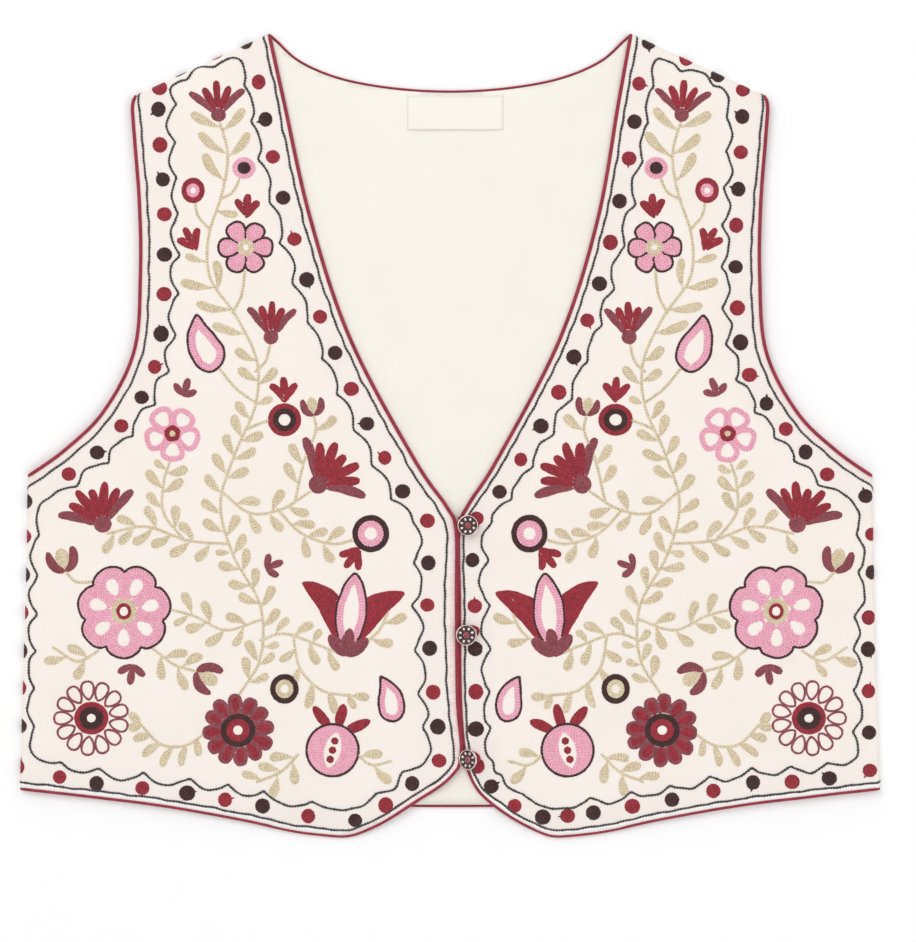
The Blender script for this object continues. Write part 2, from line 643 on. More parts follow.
def front_points(half, inset, low):
    """The main rows of a front, shoulder fold first, and the rows of its side fold, seam first.

    inset is how far its edges lie inside the piping's middle, and low is its height under the folds.
    """
    armhole, edge, hem = (half.at(name, inset) for name in ("armhole", "edge", "hem"))
    steps = (FOLD_REACH, FOLD_REACH - FOLD_RADIUS, FOLD_REACH + TURNED_UNDER)
    shoulder, shoulder_outer, shoulder_seam = (half.at("shoulder", s) for s in steps)
    side, side_outer, side_seam = (half.at("side", s) for s in steps)
    back_neck, back_hem = half.at("back_neck", inset), half.at("back_hem", inset)
    columns = COLUMNS_HEM + COLUMNS_CUTAWAY

    neck_line, below = above_and_below(between(edge, shoulder, hem), NECK_END_Y)
    edge_line, cutaway = above_and_below(below, FRONT_CORNER_Y)
    hem_line = resample(between(hem, side, edge), COLUMNS_HEM)
    hem_line = np.vstack([hem_line, resample(cutaway[::-1], COLUMNS_CUTAWAY)[1:]])
    hem_line = rounded(hem_line, CORNER_ROUNDS)
    arm_line = between(armhole, shoulder, side)
    top = resample(between(shoulder, armhole, edge), columns)
    middle = resample(np.vstack([arm_line[-1], neck_line[-1]]), columns)
    side_line = resample(between(side, armhole, hem), ROWS_LOWER)
    upper = patch(top, middle, resample(arm_line, ROWS_UPPER), resample(neck_line, ROWS_UPPER))
    lower = patch(middle, hem_line, side_line, resample(edge_line, ROWS_LOWER))
    plan = np.concatenate([upper, lower[1:]])

    over = half.overlapping
    top_outer = resample(between(shoulder_outer, armhole, edge), columns)
    top_seam = resample(between(shoulder_seam, armhole, back_neck), columns)
    rows = fold_rows(top, top_outer, top_seam, over, low)
    rows += [np.column_stack([row, front_height(row[:, 0], row[:, 1], over)]) for row in plan]
    side_top = resample(between(side_outer, armhole, hem), ROWS_LOWER)
    side_under = resample(between(side_seam, armhole, back_hem), ROWS_LOWER)
    side_rows = fold_rows(side_line, side_top, side_under, over, low)
    side_rows.append(np.array([row[0] for row in rows[-len(side_line) :]]))
    return np.array(rows), np.array(side_rows)


def distance_to(line, points):
    """The distance in the plan from each point to the nearest stretch of a line."""
    best = np.full(len(points), 1.0)
    for a, b in zip(line[:-1], line[1:]):
        along = b - a
        share = np.clip((points - a) @ along / (along @ along), 0, 1)
        best = np.minimum(best, np.linalg.norm(points - a - share[:, None] * along, axis=1))
    return best


def add_sheet(mesh, rows):
    """A sheet of faces through the rows of points, made from a grid."""
    across = rows.shape[1]
    made = bmesh.ops.create_grid(mesh, x_segments=across - 1, y_segments=len(rows) - 1, size=1.0)
    ordered = sorted(made["verts"], key=lambda v: (round(v.co.y, 5), round(v.co.x, 5)))
    for vertex, place in zip(ordered, rows.reshape(-1, 3)):
        vertex.co = place


def link_object(name, data):
    made = bpy.data.objects.new(name, data)
    bpy.context.scene.collection.objects.link(made)
    return made


def keep_object(name, data):
    """Links a finished mesh as an object that rides on the one body."""
    made = link_object(name, data)
    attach(made, "root")
    return made


def mesh_data(name, mesh, finish):
    """The data of a finished bmesh, with its material."""
    data = bpy.data.meshes.new(name)
    mesh.to_mesh(data)
    mesh.free()
    data.materials.append(finish)
    return data


def finish_mesh(name, mesh, finish, smooth_angle=60):
    """The object of a finished bmesh, shaded smooth."""
    data = mesh_data(name, mesh, finish)
    data.shade_smooth()
    data.set_sharp_from_angle(angle=math.radians(smooth_angle))
    return keep_object(name, data)


def places_of(data):
    places = np.empty(len(data.vertices) * 3)
    data.vertices.foreach_get("co", places)
    return places.reshape(-1, 3)


def face_up(mesh, near=(0.0, 0.0, 0.0)):
    """Turns a sheet's faces the same way, so that the one nearest to a place looks up."""
    bmesh.ops.recalc_face_normals(mesh, faces=mesh.faces)
    middle = min(mesh.faces, key=lambda f: (f.calc_center_median() - Vector(near)).length)
    if middle.normal.z < 0:
        bmesh.ops.reverse_faces(mesh, faces=mesh.faces)


def add_attribute(data, name, values):
    made = data.attributes.new(name, "FLOAT", "POINT")
    made.data.foreach_set("value", np.asarray(values, np.float32))


def thicken(piece, wall, offset):
    shell = piece.modifiers.new("Wall", "SOLIDIFY")
    shell.thickness = wall
    shell.offset = offset
    shell.use_even_offset = True


def front_shell(half, cloth):
    """A front as one thin shell, which dips to its piped seams and turns round the folds."""
    rows, side_rows = front_points(half, TUCK_INSET, BACK_MID)
    mesh = bmesh.new()
    add_sheet(mesh, rows)
    add_sheet(mesh, side_rows)
    bmesh.ops.remove_doubles(mesh, verts=mesh.verts, dist=MERGE)
    face_up(mesh, near=(half.sign * CHEST_X, 0, FRONT_MID))
    panel = finish_mesh("front_shell_" + half.name, mesh, cloth)
    places = places_of(panel.data)
    lines = (half.armhole, half.edge, half.hem)
    to_arm, to_edge, to_hem = (distance_to(line[1:-1], places[:, :2]) for line in lines)
    nearest = np.minimum(np.minimum(to_arm, to_edge), to_hem)
    allowance = to_arm
    if half.overlapping:
        allowance = np.minimum(to_arm, np.where(places[:, 1] < NECK_END_Y, to_edge, 1.0))
    add_attribute(panel.data, "seam_mm", nearest / MM)
    add_attribute(panel.data, "allowance_mm", allowance / MM)
    dip = SEAM_DIP * (1 - smoothstep((nearest - TUCK_INSET) / SEAM_DIP_REACH))
    places[:, 2] -= dip * (places[:, 2] > FRONT_MID / 2)
    panel.data.vertices.foreach_set("co", places.ravel())
    thicken(panel, FRONT_WALL, (CAD_WALL - FRONT_WALL) / FRONT_WALL)
    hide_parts("front_" + half.name)
    return panel


def back_outline(half, shoulder_inset=FOLD_REACH + TURNED_UNDER + SEAM_GAP):
    """One side of the back's outline, from the middle of its neck round to the middle of its hem."""
    names = ("armhole", "back_neck", "back_hem")
    armhole, back_neck, back_hem = (half.at(name, TUCK_INSET) for name in names)
    shoulder = half.at("shoulder", shoulder_inset)
    side = half.at("side", FOLD_REACH + TURNED_UNDER + SEAM_GAP)
    start, neck_corner = crossing(back_neck, shoulder)
    end, hem_corner = crossing(back_hem, side)
    neck = resample(np.vstack([neck_corner, back_neck[start + 1 :]]), BACK_NECK_COLUMNS)
    arm = resample(between(armhole, shoulder, side), BACK_ROWS_UPPER)
    seam = resample(between(side, armhole, back_hem), BACK_ROWS_LOWER)
    hem = resample(np.vstack([hem_corner, back_hem[end + 1 :]]), BACK_HEM_COLUMNS)
    return np.vstack([neck[::-1], arm, seam[1:], hem[1:]])


def whole_outline(halves, *insets):
    right, left = (back_outline(half, *insets) for half in halves)
    return np.vstack([right, left[-2:0:-1]])


def cloth_plate(name, outline, bottom, wall, height_of, cloth):
    """A wall of cloth with the plan of the outline, whose sheet is raised by height_of."""
    mesh = bmesh.new()
    mesh.faces.new([mesh.verts.new((*p, 0.0)) for p in outline])
    for axis in (0, 1):
        across = Vector((1 - axis, axis, 0))
        for at in np.arange(outline[:, axis].min() + BACK_GRID, outline[:, axis].max(), BACK_GRID):
            whole = [*mesh.verts, *mesh.edges, *mesh.faces]
            place = across * float(at)
            bmesh.ops.bisect_plane(mesh, geom=whole, dist=MERGE, plane_co=place, plane_no=across)
    face_up(mesh)
    plate = finish_mesh(name, mesh, cloth)
    places = places_of(plate.data)
    places[:, 2] = bottom + height_of(places[:, 0], places[:, 1])
    plate.data.vertices.foreach_set("co", places.ravel())
    thicken(plate, wall, 1.0)
    return plate


def tube(name, points, radius, cloth, ring=False, sides=12):
    """A round cord of cloth along the points, with one radius or one for each point."""
    line = np.array(points, float)
    if ring:
        line = closed(line)
    radii = np.broadcast_to(radius, len(line))
    along = np.gradient(line, axis=0)
    if ring:
        along[0] = along[-1] = line[1] - line[-2]
    along = units(along)
    side = np.cross(along[0], (0.0, 0.0, 1.0))
    side = unit(side if np.linalg.norm(side) > 0.1 else np.cross(along[0], (0.0, 1.0, 0.0)))
    turns = 2 * math.pi * np.arange(sides + 1) / sides
    side_ways = [side]
    for ahead in along:
        side_ways.append(unit(side_ways[-1] - (side_ways[-1] @ ahead) * ahead))
    first, last = side, side_ways[-1]
    # A ring is twisted evenly, so that its ends meet.
    slip = math.atan2(np.cross(last, first) @ along[-1], last @ first) if ring else 0.0
    rings = []
    for k, side in enumerate(side_ways[1:]):
        over = np.cross(along[k], side)
        angle = turns + slip * k / (len(line) - 1)
        rings.append(line[k] + radii[k] * (np.cos(angle)[:, None] * side + np.sin(angle)[:, None] * over))
    mesh = bmesh.new()
    add_sheet(mesh, np.array(rings))
    bmesh.ops.remove_doubles(mesh, verts=mesh.verts, dist=MERGE)
    open_edges = [e for e in mesh.edges if e.is_boundary]
    if open_edges:
        bmesh.ops.holes_fill(mesh, edges=open_edges, sides=sides)
    bmesh.ops.recalc_face_normals(mesh, faces=mesh.faces)
    made = finish_mesh(name, mesh, cloth, smooth_angle=50)
    return made


def thinned(points, least=0.0016):
    """The points without those that lie closer together than least."""
    kept = [points[0]]
    for point in points[1:-1]:
        if np.linalg.norm(point - kept[-1]) >= least:
            kept.append(point)
    kept.append(points[-1])
    return np.array(kept)


def front_piping(half, cloth):
    """Round the front's neck, edge and hem, and over both folds to the seams. It is thinner at the hem."""
    runs = []
    for inset in (0.0, HEM_PIPING_INSET):
        rows, side_rows = front_points(half, inset, PIPING_RADIUS)
        runs.append(np.vstack([rows[:, -1], rows[-1][::-1][1:], side_rows[-2::-1, -1]]))
    at_hem = smoothstep((HEM_PIPING_Y - runs[0][:, 1:2]) / HEM_PIPING_RUN)
    points = thinned(runs[0] + (runs[1] - runs[0]) * at_hem)
    at_hem = smoothstep((HEM_PIPING_Y - points[:, 1]) / HEM_PIPING_RUN)
    radius = PIPING_RADIUS + (HEM_PIPING_RADIUS - PIPING_RADIUS) * at_hem
    made = tube("piping_front_" + half.name, points, radius, cloth)
    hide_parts("front_piping_" + half.name)


def armhole_piping(half, cloth):
    """A ring: down the front armhole, round the side fold, up the back's and over the shoulder fold."""
    rows, side_rows = front_points(half, 0.0, PIPING_RADIUS)
    front_run = rows[FOLD_STEPS + 1 : FOLD_STEPS + 2 + ROWS_UPPER, 0]
    side_fold = side_rows[-2:1:-1, 0]
    back_run = np.column_stack([front_run[::-1, :2], np.full(len(front_run), PIPING_RADIUS)])
    points = np.vstack([front_run, side_fold, back_run, rows[2 : FOLD_STEPS + 1, 0]])
    made = tube("piping_armhole_" + half.name, thinned(points), PIPING_RADIUS, cloth, ring=True)
    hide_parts("armhole_piping_" + half.name)


def back_piping(name, halves, fold_name, tuck, cloth):
    """Along the back's neck or hem. tuck is how far it goes on past the seam, over the front's edge."""
    runs = []
    for half in halves:
        line = half.at(name, 0.0)
        start, corner = crossing(line, half.at(fold_name, FOLD_REACH + TURNED_UNDER + SEAM_GAP - tuck))
        runs.append(resample(np.vstack([corner, line[start + 1 :]]), BACK_PIPING_STEPS))
    plan = np.vstack([runs[0], runs[1][-2::-1]])
    along = lengths_along(plan)
    from_end = np.minimum(along, along[-1] - along)
    lift = min(tuck, TUCK_LIFT) * (1 - smoothstep((from_end - tuck) / TUCK_RUN))
    points = np.column_stack([plan, BACK_PIPING_RADIUS + lift])
    made = tube("piping_" + name, points, BACK_PIPING_RADIUS, cloth)
    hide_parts(name + "_piping")


def turned(mesh, section, steps):
    """A shape turned about the Z axis from its section, as (radius, height) pairs."""
    known = set(mesh.verts)
    rings = [mesh.verts.new((radius, 0, height)) for radius, height in section]
    profile = [mesh.edges.new(pair) for pair in zip(rings, rings[1:])]
    bmesh.ops.spin(
        mesh,
        geom=rings + profile,
        cent=(0, 0, 0),
        axis=(0, 0, 1),
        angle=2 * math.pi,
        steps=steps,
        use_merge=True,
    )
    made = [v for v in mesh.verts if v not in known]
    bmesh.ops.remove_doubles(mesh, verts=made, dist=MERGE)


def raised(section, base):
    return [(radius, base + height) for radius, height in section]


def button_place(row):
    """Where the button stands: its turn and the foot of its shank on the left front."""
    face_height = row["shank"] + HEAD_HEIGHT
    lean_x, lean_y = (math.radians(degrees) for degrees in row["lean"])
    turn = Matrix.Rotation(lean_x, 4, "Y") @ Matrix.Rotation(-lean_y, 4, "X")
    face_middle = turn @ Vector((0, 0, face_height))
    foot_x, foot_y = row["x"] - face_middle.x, row["y"] - face_middle.y
    rise = SHANK_RADIUS * math.sin(max(abs(lean_x), abs(lean_y)))
    seat = float(front_height(np.array([foot_x]), np.array([foot_y]), False)[0])
    return Matrix.Translation((foot_x, foot_y, seat + CAD_WALL / 2 + SEAM_GAP + rise)) @ turn


def finish_turned(name, mesh, place, finish, smooth_angle=40):
    bmesh.ops.recalc_face_normals(mesh, faces=mesh.faces)
    bmesh.ops.transform(mesh, matrix=place, verts=mesh.verts)
    return finish_mesh(name, mesh, finish, smooth_angle)


def button(row, metal, enamel, stone):
    """A shank button: a thin bright rim round a dark enamel face with eight petals and a small stone."""
    place = button_place(row)
    base = row["shank"]
    name = "button_" + row["name"]
    mesh = bmesh.new()
    shank = [(0, 0), (SHANK_RADIUS, 0), (SHANK_RADIUS, base * 0.85)]
    turned(mesh, shank + raised(HEAD_SECTION, base), 48)
    # The petals are ovals of wire that stand on the enamel.
    for k in range(PETALS):
        petal_form = bmesh.ops.create_uvsphere(mesh, u_segments=12, v_segments=6, radius=1.0)["verts"]
        bmesh.ops.scale(mesh, verts=petal_form, vec=PETAL_RADII)
        bmesh.ops.translate(mesh, verts=petal_form, vec=(PETAL_OUT, 0, base + PETAL_RISE))
        spin = Matrix.Rotation(2 * math.pi * (k + 0.5) / PETALS, 3, "Z")
        bmesh.ops.rotate(mesh, verts=petal_form, cent=(0, 0, 0), matrix=spin)
    # The thin collar that holds the stone
    turned(mesh, raised(COLLAR_SECTION, base), 24)
    head = finish_turned(name + "_metal", mesh, place, metal)
    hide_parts(name)

    for part, section, steps, finish in (
        ("_enamel", ENAMEL_SECTION, 48, enamel),
        ("_stone", STONE_SECTION, 24, stone),
    ):
        mesh = bmesh.new()
        turned(mesh, raised(section, base), steps)
        finish_turned(name + part, mesh, place, finish)


def loop(row, half, cloth):
    """A narrow tube of cloth from the right front's piping round the button's shank and back."""
    edge = half.at("edge", 0.0)
    _, on_edge = crossing(edge, np.array([(-1.0, row["y"]), (1.0, row["y"])]))
    start = on_edge[0] + PIPING_RADIUS + SEAM_GAP
    reach = row["x"] + row["reach"] * MM - start
    over_piping = FRONT_MID + PIPING_RADIUS + SEAM_GAP + LOOP_RADIUS
    on_cloth = FRONT_MID + CAD_WALL / 2 + SEAM_GAP + LOOP_RADIUS
    angle = math.pi * np.arange(LOOP_STEPS + 1) / LOOP_STEPS
    out = np.sin(angle)
    settled = smoothstep((1 + LOOP_ON_PIPING) * out - LOOP_ON_PIPING)
    height = over_piping + (on_cloth - over_piping) * settled
    level = row["y"] + row["rise"] * MM * out + LOOP_HALF_WIDTH * np.cos(angle)
    points = np.column_stack([start + reach * out**LOOP_BLUNT, level, height])
    made = tube("button_loop_" + row["name"], points, LOOP_RADIUS, cloth, sides=10)
    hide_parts("loop_" + row["name"])


def label(tape):
    """A blank tape label. Its lower edge lifts a little off the lining and casts the only shadow there."""
    mesh = bmesh.new()
    across, down = LABEL_FACES
    u = np.linspace(-1, 1, across + 1)[None, :] * np.ones((down + 1, 1))
    v = np.linspace(-1, 1, down + 1)[:, None] * np.ones((1, across + 1))
    x = LABEL_MIDDLE[0] + u * LABEL_SIZE[0] / 2
    y = LABEL_MIDDLE[1] + v * LABEL_SIZE[1] / 2 * (1 - LABEL_WAIST * np.cos(math.pi * u / 2))
    rise = LABEL_LIFT * ((1 - v) / 2) ** 4 * (1 - np.abs(u) ** 5)
    z = LINING_TOP + LABEL_GAP + rise
    add_sheet(mesh, np.stack([x, y, z], axis=-1))
    face_up(mesh)
    tag = finish_mesh("blank_label", mesh, tape)
    thicken(tag, LABEL_WALL, 1.0)
    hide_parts("neck_label")
    return tag


def stage(finish):
    """A plain pale floor, soft light from two large lamps overhead, and the camera straight above."""
    mesh = bmesh.new()
    bmesh.ops.create_grid(mesh, x_segments=1, y_segments=1, size=FLOOR_HALF_SIZE)
    bmesh.ops.translate(mesh, verts=mesh.verts, vec=(0, 0, FLOOR_TOP))
    link_object("floor", mesh_data("floor", mesh, finish))

    for name, place, size, power in LAMPS:
        lamp = bpy.data.lights.new(name, "AREA")
        lamp.shape = "DISK"
        lamp.size = size
        lamp.energy = power
        made = link_object(name, lamp)
        made.location = place
        made.rotation_euler = (-Vector(place)).to_track_quat("-Z", "Y").to_euler()

    world = bpy.data.worlds.new("studio")
    world.use_nodes = True
    tree = world.node_tree
    connect(tree, tree.nodes["Background"], {"Color": linear("#FFFFFF"), "Strength": SKY})
    bpy.context.scene.world = world

    view = bpy.data.cameras.new("camera")
    view.lens = LENS
    view.sensor_width = SENSOR
    view.sensor_fit = "AUTO"
    camera = link_object("camera", view)
    camera.location = (CAMERA_X, CAMERA_Y, CAMERA_HEIGHT)
    camera.rotation_euler = (0, 0, 0)
    bpy.context.scene.camera = camera
    bpy.context.scene.view_settings.view_transform = "Standard"


def blank_material(name):
    """A new material's node tree, with its shader and the object's own coordinates."""
    made = bpy.data.materials.new(name)
    made.use_nodes = True
    tree = made.node_tree
    shader = tree.nodes["Principled BSDF"]
    place = add(tree, "ShaderNodeTexCoord")
    return made, tree, shader, place


def woven_cloth(name, colour, deeper, thread_mm, slub_mm, bump, sheen):
    """Plain-woven cloth: crossed threads and thicker slubs in the bump, and a dye that is a little uneven."""
    made, tree, shader, place = blank_material(name)
    waves = {"Vector": (place, "Object"), "Scale": WAVE_MM / thread_mm, "Distortion": 1.2, "Detail": 2.0}
    waves["Detail Scale"] = 2.0
    warp, weft = (add(tree, "ShaderNodeTexWave", waves, bands_direction=axis) for axis in "XY")
    weave = add(tree, "ShaderNodeMath", {0: (warp, "Fac"), 1: (weft, "Fac")}, operation="MULTIPLY")
    # Slubs are thicker lengths of yarn, drawn out along the weft and along the warp.
    slubs = []
    for scale in ((40.0, 900.0 / slub_mm, 1.0), (900.0 / slub_mm, 40.0, 1.0)):
        stretch = add(tree, "ShaderNodeMapping", {"Vector": (place, "Object"), "Scale": scale})
        slubs.append(add(tree, "ShaderNodeTexNoise", {"Vector": (stretch, 0), "Scale": 1.0, "Detail": 3.0}))
    slub = add(tree, "ShaderNodeMath", {0: (slubs[0], 0), 1: (slubs[1], 0)}, operation="ADD")
    height = add(tree, "ShaderNodeMath", {0: (weave, 0), 1: (slub, 0)}, operation="ADD")
    relief = add(tree, "ShaderNodeBump", {"Height": (height, 0), "Strength": bump, "Distance": 0.0002})
    # Cloth takes dye a little unevenly, in clouds of about 26 mm.
    clouds = add(tree, "ShaderNodeTexNoise", {"Vector": (place, "Object"), "Scale": 38.0, "Detail": 3.0})
    mottle = add(tree, "ShaderNodeMapRange", dict(zip(RANGE, ((clouds, 0), 0.40, 0.68, 0.0, 0.5))))
    thick = add(tree, "ShaderNodeMapRange", dict(zip(RANGE, ((slub, 0), 0.98, 1.30, 0.0, 0.3))))
    uneven = add(tree, "ShaderNodeMath", {0: (mottle, 0), 1: (thick, 0)}, operation="MAXIMUM")
    tones = {0: (uneven, 0), 6: linear(colour), 7: linear(deeper)}
    dye = add(tree, "ShaderNodeMix", tones, data_type="RGBA")
    connect(tree, shader, {"Base Color": (dye, 2), "Normal": (relief, 0), "Roughness": 0.88})
    connect(tree, shader, {"Sheen Weight": sheen, "Sheen Roughness": 0.5})
    return made, tree, shader, dye, place


def shell_cotton():
    """Cream cotton of the fronts: faintly pinker in the border, and paler where the hem is turned up.

    The red seam allowance shows through it.
    """
    made, tree, shader, dye, place = woven_cloth("cream_cotton", *CREAM_COTTON)
    seam = add(tree, "ShaderNodeAttribute", attribute_name="seam_mm")
    border = add(tree, "ShaderNodeMapRange", dict(zip(RANGE, ((seam, "Fac"), 17.0, 23.0, 0.6, 0.0))))
    band = add(tree, "ShaderNodeMix", {0: (border, 0), 6: (dye, 2), 7: linear("#F4EAE5")}, data_type="RGBA")
    parts = add(tree, "ShaderNodeSeparateXYZ", {0: (place, "Object")})
    low = add(tree, "ShaderNodeMapRange", dict(zip(RANGE, ((parts, 1), -0.190, -0.170, 1.0, 0.0))))
    doubled = add(tree, "ShaderNodeMapRange", dict(zip(RANGE, ((seam, "Fac"), 3.4, 4.4, 1.0, 0.0))))
    turned_up = add(tree, "ShaderNodeMath", {0: (low, 0), 1: (doubled, 0)}, operation="MULTIPLY")
    pale = {0: (turned_up, 0), 6: (band, 2), 7: linear("#FFFDFA")}
    band = add(tree, "ShaderNodeMix", pale, data_type="RGBA")
    # The allowance is mottled in specks of about 1.4 mm, and fades towards the neck.
    allowance = add(tree, "ShaderNodeAttribute", attribute_name="allowance_mm")
    strip = add(tree, "ShaderNodeMapRange", dict(zip(RANGE, ((allowance, "Fac"), 3.6, 4.9, 1.0, 0.0))))
    specks = add(tree, "ShaderNodeTexNoise", {"Vector": (place, "Object"), "Scale": 700.0, "Detail": 3.0})
    mottle = add(tree, "ShaderNodeMapRange", dict(zip(RANGE, ((specks, 0), 0.38, 0.64, 0.10, 0.65))))
    strip = add(tree, "ShaderNodeMath", {0: (strip, 0), 1: (mottle, 0)}, operation="MULTIPLY")
    fade = add(tree, "ShaderNodeMapRange", dict(zip(RANGE, ((parts, 1), -0.09, -0.02, 1.0, 0.35))))
    strip = add(tree, "ShaderNodeMath", {0: (strip, 0), 1: (fade, 0)}, operation="MULTIPLY")
    pink = add(tree, "ShaderNodeMix", {0: (strip, 0), 6: (band, 2), 7: linear("#EDC3C8")}, data_type="RGBA")
    connect(tree, shader, {"Base Color": (pink, 2)})
    return made


def piping_cloth():
    """Crimson bias cotton on a cord: a slanting weave, with the dye a little uneven."""
    made, tree, shader, place = blank_material("crimson_bias_cotton")
    turn = (0.0, 0.0, math.radians(45))
    slant = add(tree, "ShaderNodeMapping", {"Vector": (place, "Object"), "Rotation": turn})
    # Its ribs are 0.75 mm apart, coarser than real ones, so that they show.
    waves = {"Vector": (slant, 0), "Scale": 420.0, "Distortion": 2.0, "Detail": 2.0}
    ribs = add(tree, "ShaderNodeTexWave", waves, bands_direction="X")
    relief = add(tree, "ShaderNodeBump", {"Height": (ribs, "Fac"), "Strength": 0.4, "Distance": 0.00015})
    patches = add(tree, "ShaderNodeTexNoise", {"Vector": (place, "Object"), "Scale": 160.0, "Detail": 3.0})
    uneven = add(tree, "ShaderNodeMapRange", dict(zip(RANGE, ((patches, 0), 0.35, 0.68, 0.0, 1.0))))
    tones = {0: (uneven, 0), 6: linear("#A02A40"), 7: linear("#8A2134")}
    dye = add(tree, "ShaderNodeMix", tones, data_type="RGBA")
    connect(tree, shader, {"Base Color": (dye, 2), "Normal": (relief, 0), "Roughness": 0.75})
    connect(tree, shader, {"Sheen Weight": 0.25, "Sheen Roughness": 0.4})
    return made


def thread(name, colour, deeper):
    """Soft mercerised embroidery thread: each stitch has its own shade, and its plies are twisted."""
    made, tree, shader, place = blank_material(name)
    shade = add(tree, "ShaderNodeAttribute", attribute_name="shade")
    tones = {0: (shade, "Fac"), 6: linear(colour), 7: linear(deeper)}
    dye = add(tree, "ShaderNodeMix", tones, data_type="RGBA")
    # The plies are 0.35 mm apart.
    waves = {"Vector": (place, "Object"), "Scale": 900.0, "Distortion": 1.5}
    plies = add(tree, "ShaderNodeTexWave", waves, bands_direction="DIAGONAL")
    relief = add(tree, "ShaderNodeBump", {"Height": (plies, "Fac"), "Strength": 0.25, "Distance": 0.0001})
    connect(tree, shader, {"Base Color": (dye, 2), "Normal": (relief, 0), "Roughness": 0.55})
    connect(tree, shader, {"Sheen Weight": 0.2, "Sheen Roughness": 0.35})
    return made


def worn_metal():
    """Rose-tinted silver plate, rubbed bright on high spots and dull where polish gathers."""
    made, tree, shader, place = blank_material("rose_silver_plate")
    tarnish = add(tree, "ShaderNodeTexNoise", {"Vector": (place, "Object"), "Scale": 900.0, "Detail": 4.0})
    rubbed = add(tree, "ShaderNodeMapRange", dict(zip(RANGE, ((tarnish, 0), 0.38, 0.62, 0.0, 1.0))))
    tones = {0: (rubbed, 0), 6: linear("#FBEDE8"), 7: linear("#D9BFB8")}
    plate = add(tree, "ShaderNodeMix", tones, data_type="RGBA")
    dull = add(tree, "ShaderNodeMapRange", dict(zip(RANGE, ((tarnish, 0), 0.35, 0.65, 0.22, 0.45))))
    relief = add(tree, "ShaderNodeBump", {"Height": (tarnish, 0), "Strength": 0.15, "Distance": 0.0001})
    connect(tree, shader, {"Base Color": (plate, 2), "Normal": (relief, 0), "Roughness": (dull, 0)})
    connect(tree, shader, {"Metallic": 1.0})
    return made


def enamel(name, colour, deeper):
    """Fired enamel: a glassy coat over a colour that is cloudy inside, faintly rippled."""
    made, tree, shader, place = blank_material(name)
    clouds = add(tree, "ShaderNodeTexNoise", {"Vector": (place, "Object"), "Scale": 700.0, "Detail": 2.0})
    tones = {0: (clouds, 0), 6: linear(colour), 7: linear(deeper)}
    body = add(tree, "ShaderNodeMix", tones, data_type="RGBA")
    relief = add(tree, "ShaderNodeBump", {"Height": (clouds, 0), "Strength": 0.1, "Distance": 0.0001})
    connect(tree, shader, {"Base Color": (body, 2), "Normal": (relief, 0), "Roughness": 0.25})
    connect(tree, shader, {"Coat Weight": 0.6, "Coat Roughness": 0.08})
    return made


def floor_paper():
    """A smooth white paper sweep, with a breath of grain."""
    made, tree, shader, place = blank_material("white_paper")
    grain = add(tree, "ShaderNodeTexNoise", {"Vector": (place, "Object"), "Scale": 60.0, "Detail": 2.0})
    tones = {0: (grain, 0), 6: linear("#FFFFFF"), 7: linear("#FDFDFD")}
    tone = add(tree, "ShaderNodeMix", tones, data_type="RGBA")
    connect(tree, shader, {"Base Color": (tone, 2), "Roughness": 0.95, "Specular IOR Level": 0.1})
    return made


class Needlework:
    """Chain stitches on one front, kept until they are laid on its cloth.

    They are drawn in millimetres as on the right front, and the left front mirrors them.
    """

    def __init__(self, half, seed):
        self.half = half
        self.chance = np.random.default_rng(seed)
        self.runs = []
        self.shapes = []
        self.stems = np.empty((0, 2))
        self.field = None

    def drawn(self, points):
        """Points in metres on this front, as millimetres on the right front."""
        return np.asarray(points, float) / (-self.half.sign * MM, MM)

    def line(self, thread_name, points, over=(), filling=False):
        """Sews one row along a line, but not under the shapes in over. A filling's rows close up."""
        points = np.asarray(points, float)
        total = lengths_along(points)[-1]
        # A band named open is bare cloth.
        if thread_name == "open" or total < STITCH / 4:
            return
        # A closed row has three stitches at least.
        fewest = 3 if np.allclose(points[0], points[-1]) else 1
        count = max(fewest, int(round(total / STITCH)))
        marks = at_lengths(points, np.linspace(0, total, count + 1))
        start, end = marks[:-1], marks[1:]
        shown = np.ones(count, bool)
        for shape in over:
            shown &= ~inside(shape, (start + end) / 2)
        if shown.any():
            run = {"thread": thread_name, "start": start[shown], "end": end[shown], "filling": filling}
            run["shade"] = self.chance.uniform(0.0, 0.3)
            self.runs.append(run)

    def near(self, outline):
        """The shapes that may touch this one."""
        low, high = outline.min(axis=0) - 2, outline.max(axis=0) + 2
        return [s for s in self.shapes if (s.min(axis=0) < high).all() and (s.max(axis=0) > low).all()]

    def fill(self, outline, bands):
        """Fills a closed outline where nothing lies yet, so that what comes first lies on top.

        Each band is a thread and the depth in from the edge at which it starts.
        """
        wander = wobble(closed(outline), self.chance, SHAPE_WANDER)[:-1]
        from_seam = np.minimum(np.arange(len(outline)), np.arange(len(outline))[::-1])[:, None]
        outline = outline + wander * np.clip(from_seam / 6, 0, 1)
        over = self.near(outline)
        for depth, rows in nested(outline):
            thread_name = [name for name, start in bands if depth >= start][-1]
            for row in rows:
                self.line(thread_name, row, over, filling=True)
        self.shapes.append(outline)

    def bare(self, outline, rim):
        """Keeps an outline open, and sews the rim thread round it."""
        self.line(rim, closed(outline), self.near(outline), filling=True)
        self.shapes.append(outline)

    def free(self, outline, margin):
        """Whether a shape keeps clear of what is there and stays inside the scalloped line."""
        if not inside(self.field, outline).all():
            return False
        to_stems = np.linalg.norm(self.stems[None] - outline[:, None], axis=2)
        if len(self.stems) and to_stems.min() < margin + STEM_GAP:
            return False
        for shape in self.near(outline):
            if np.linalg.norm(shape[None] - outline[:, None], axis=2).min() < margin:
                return False
            if inside(shape, outline).any():
                return False
        return True


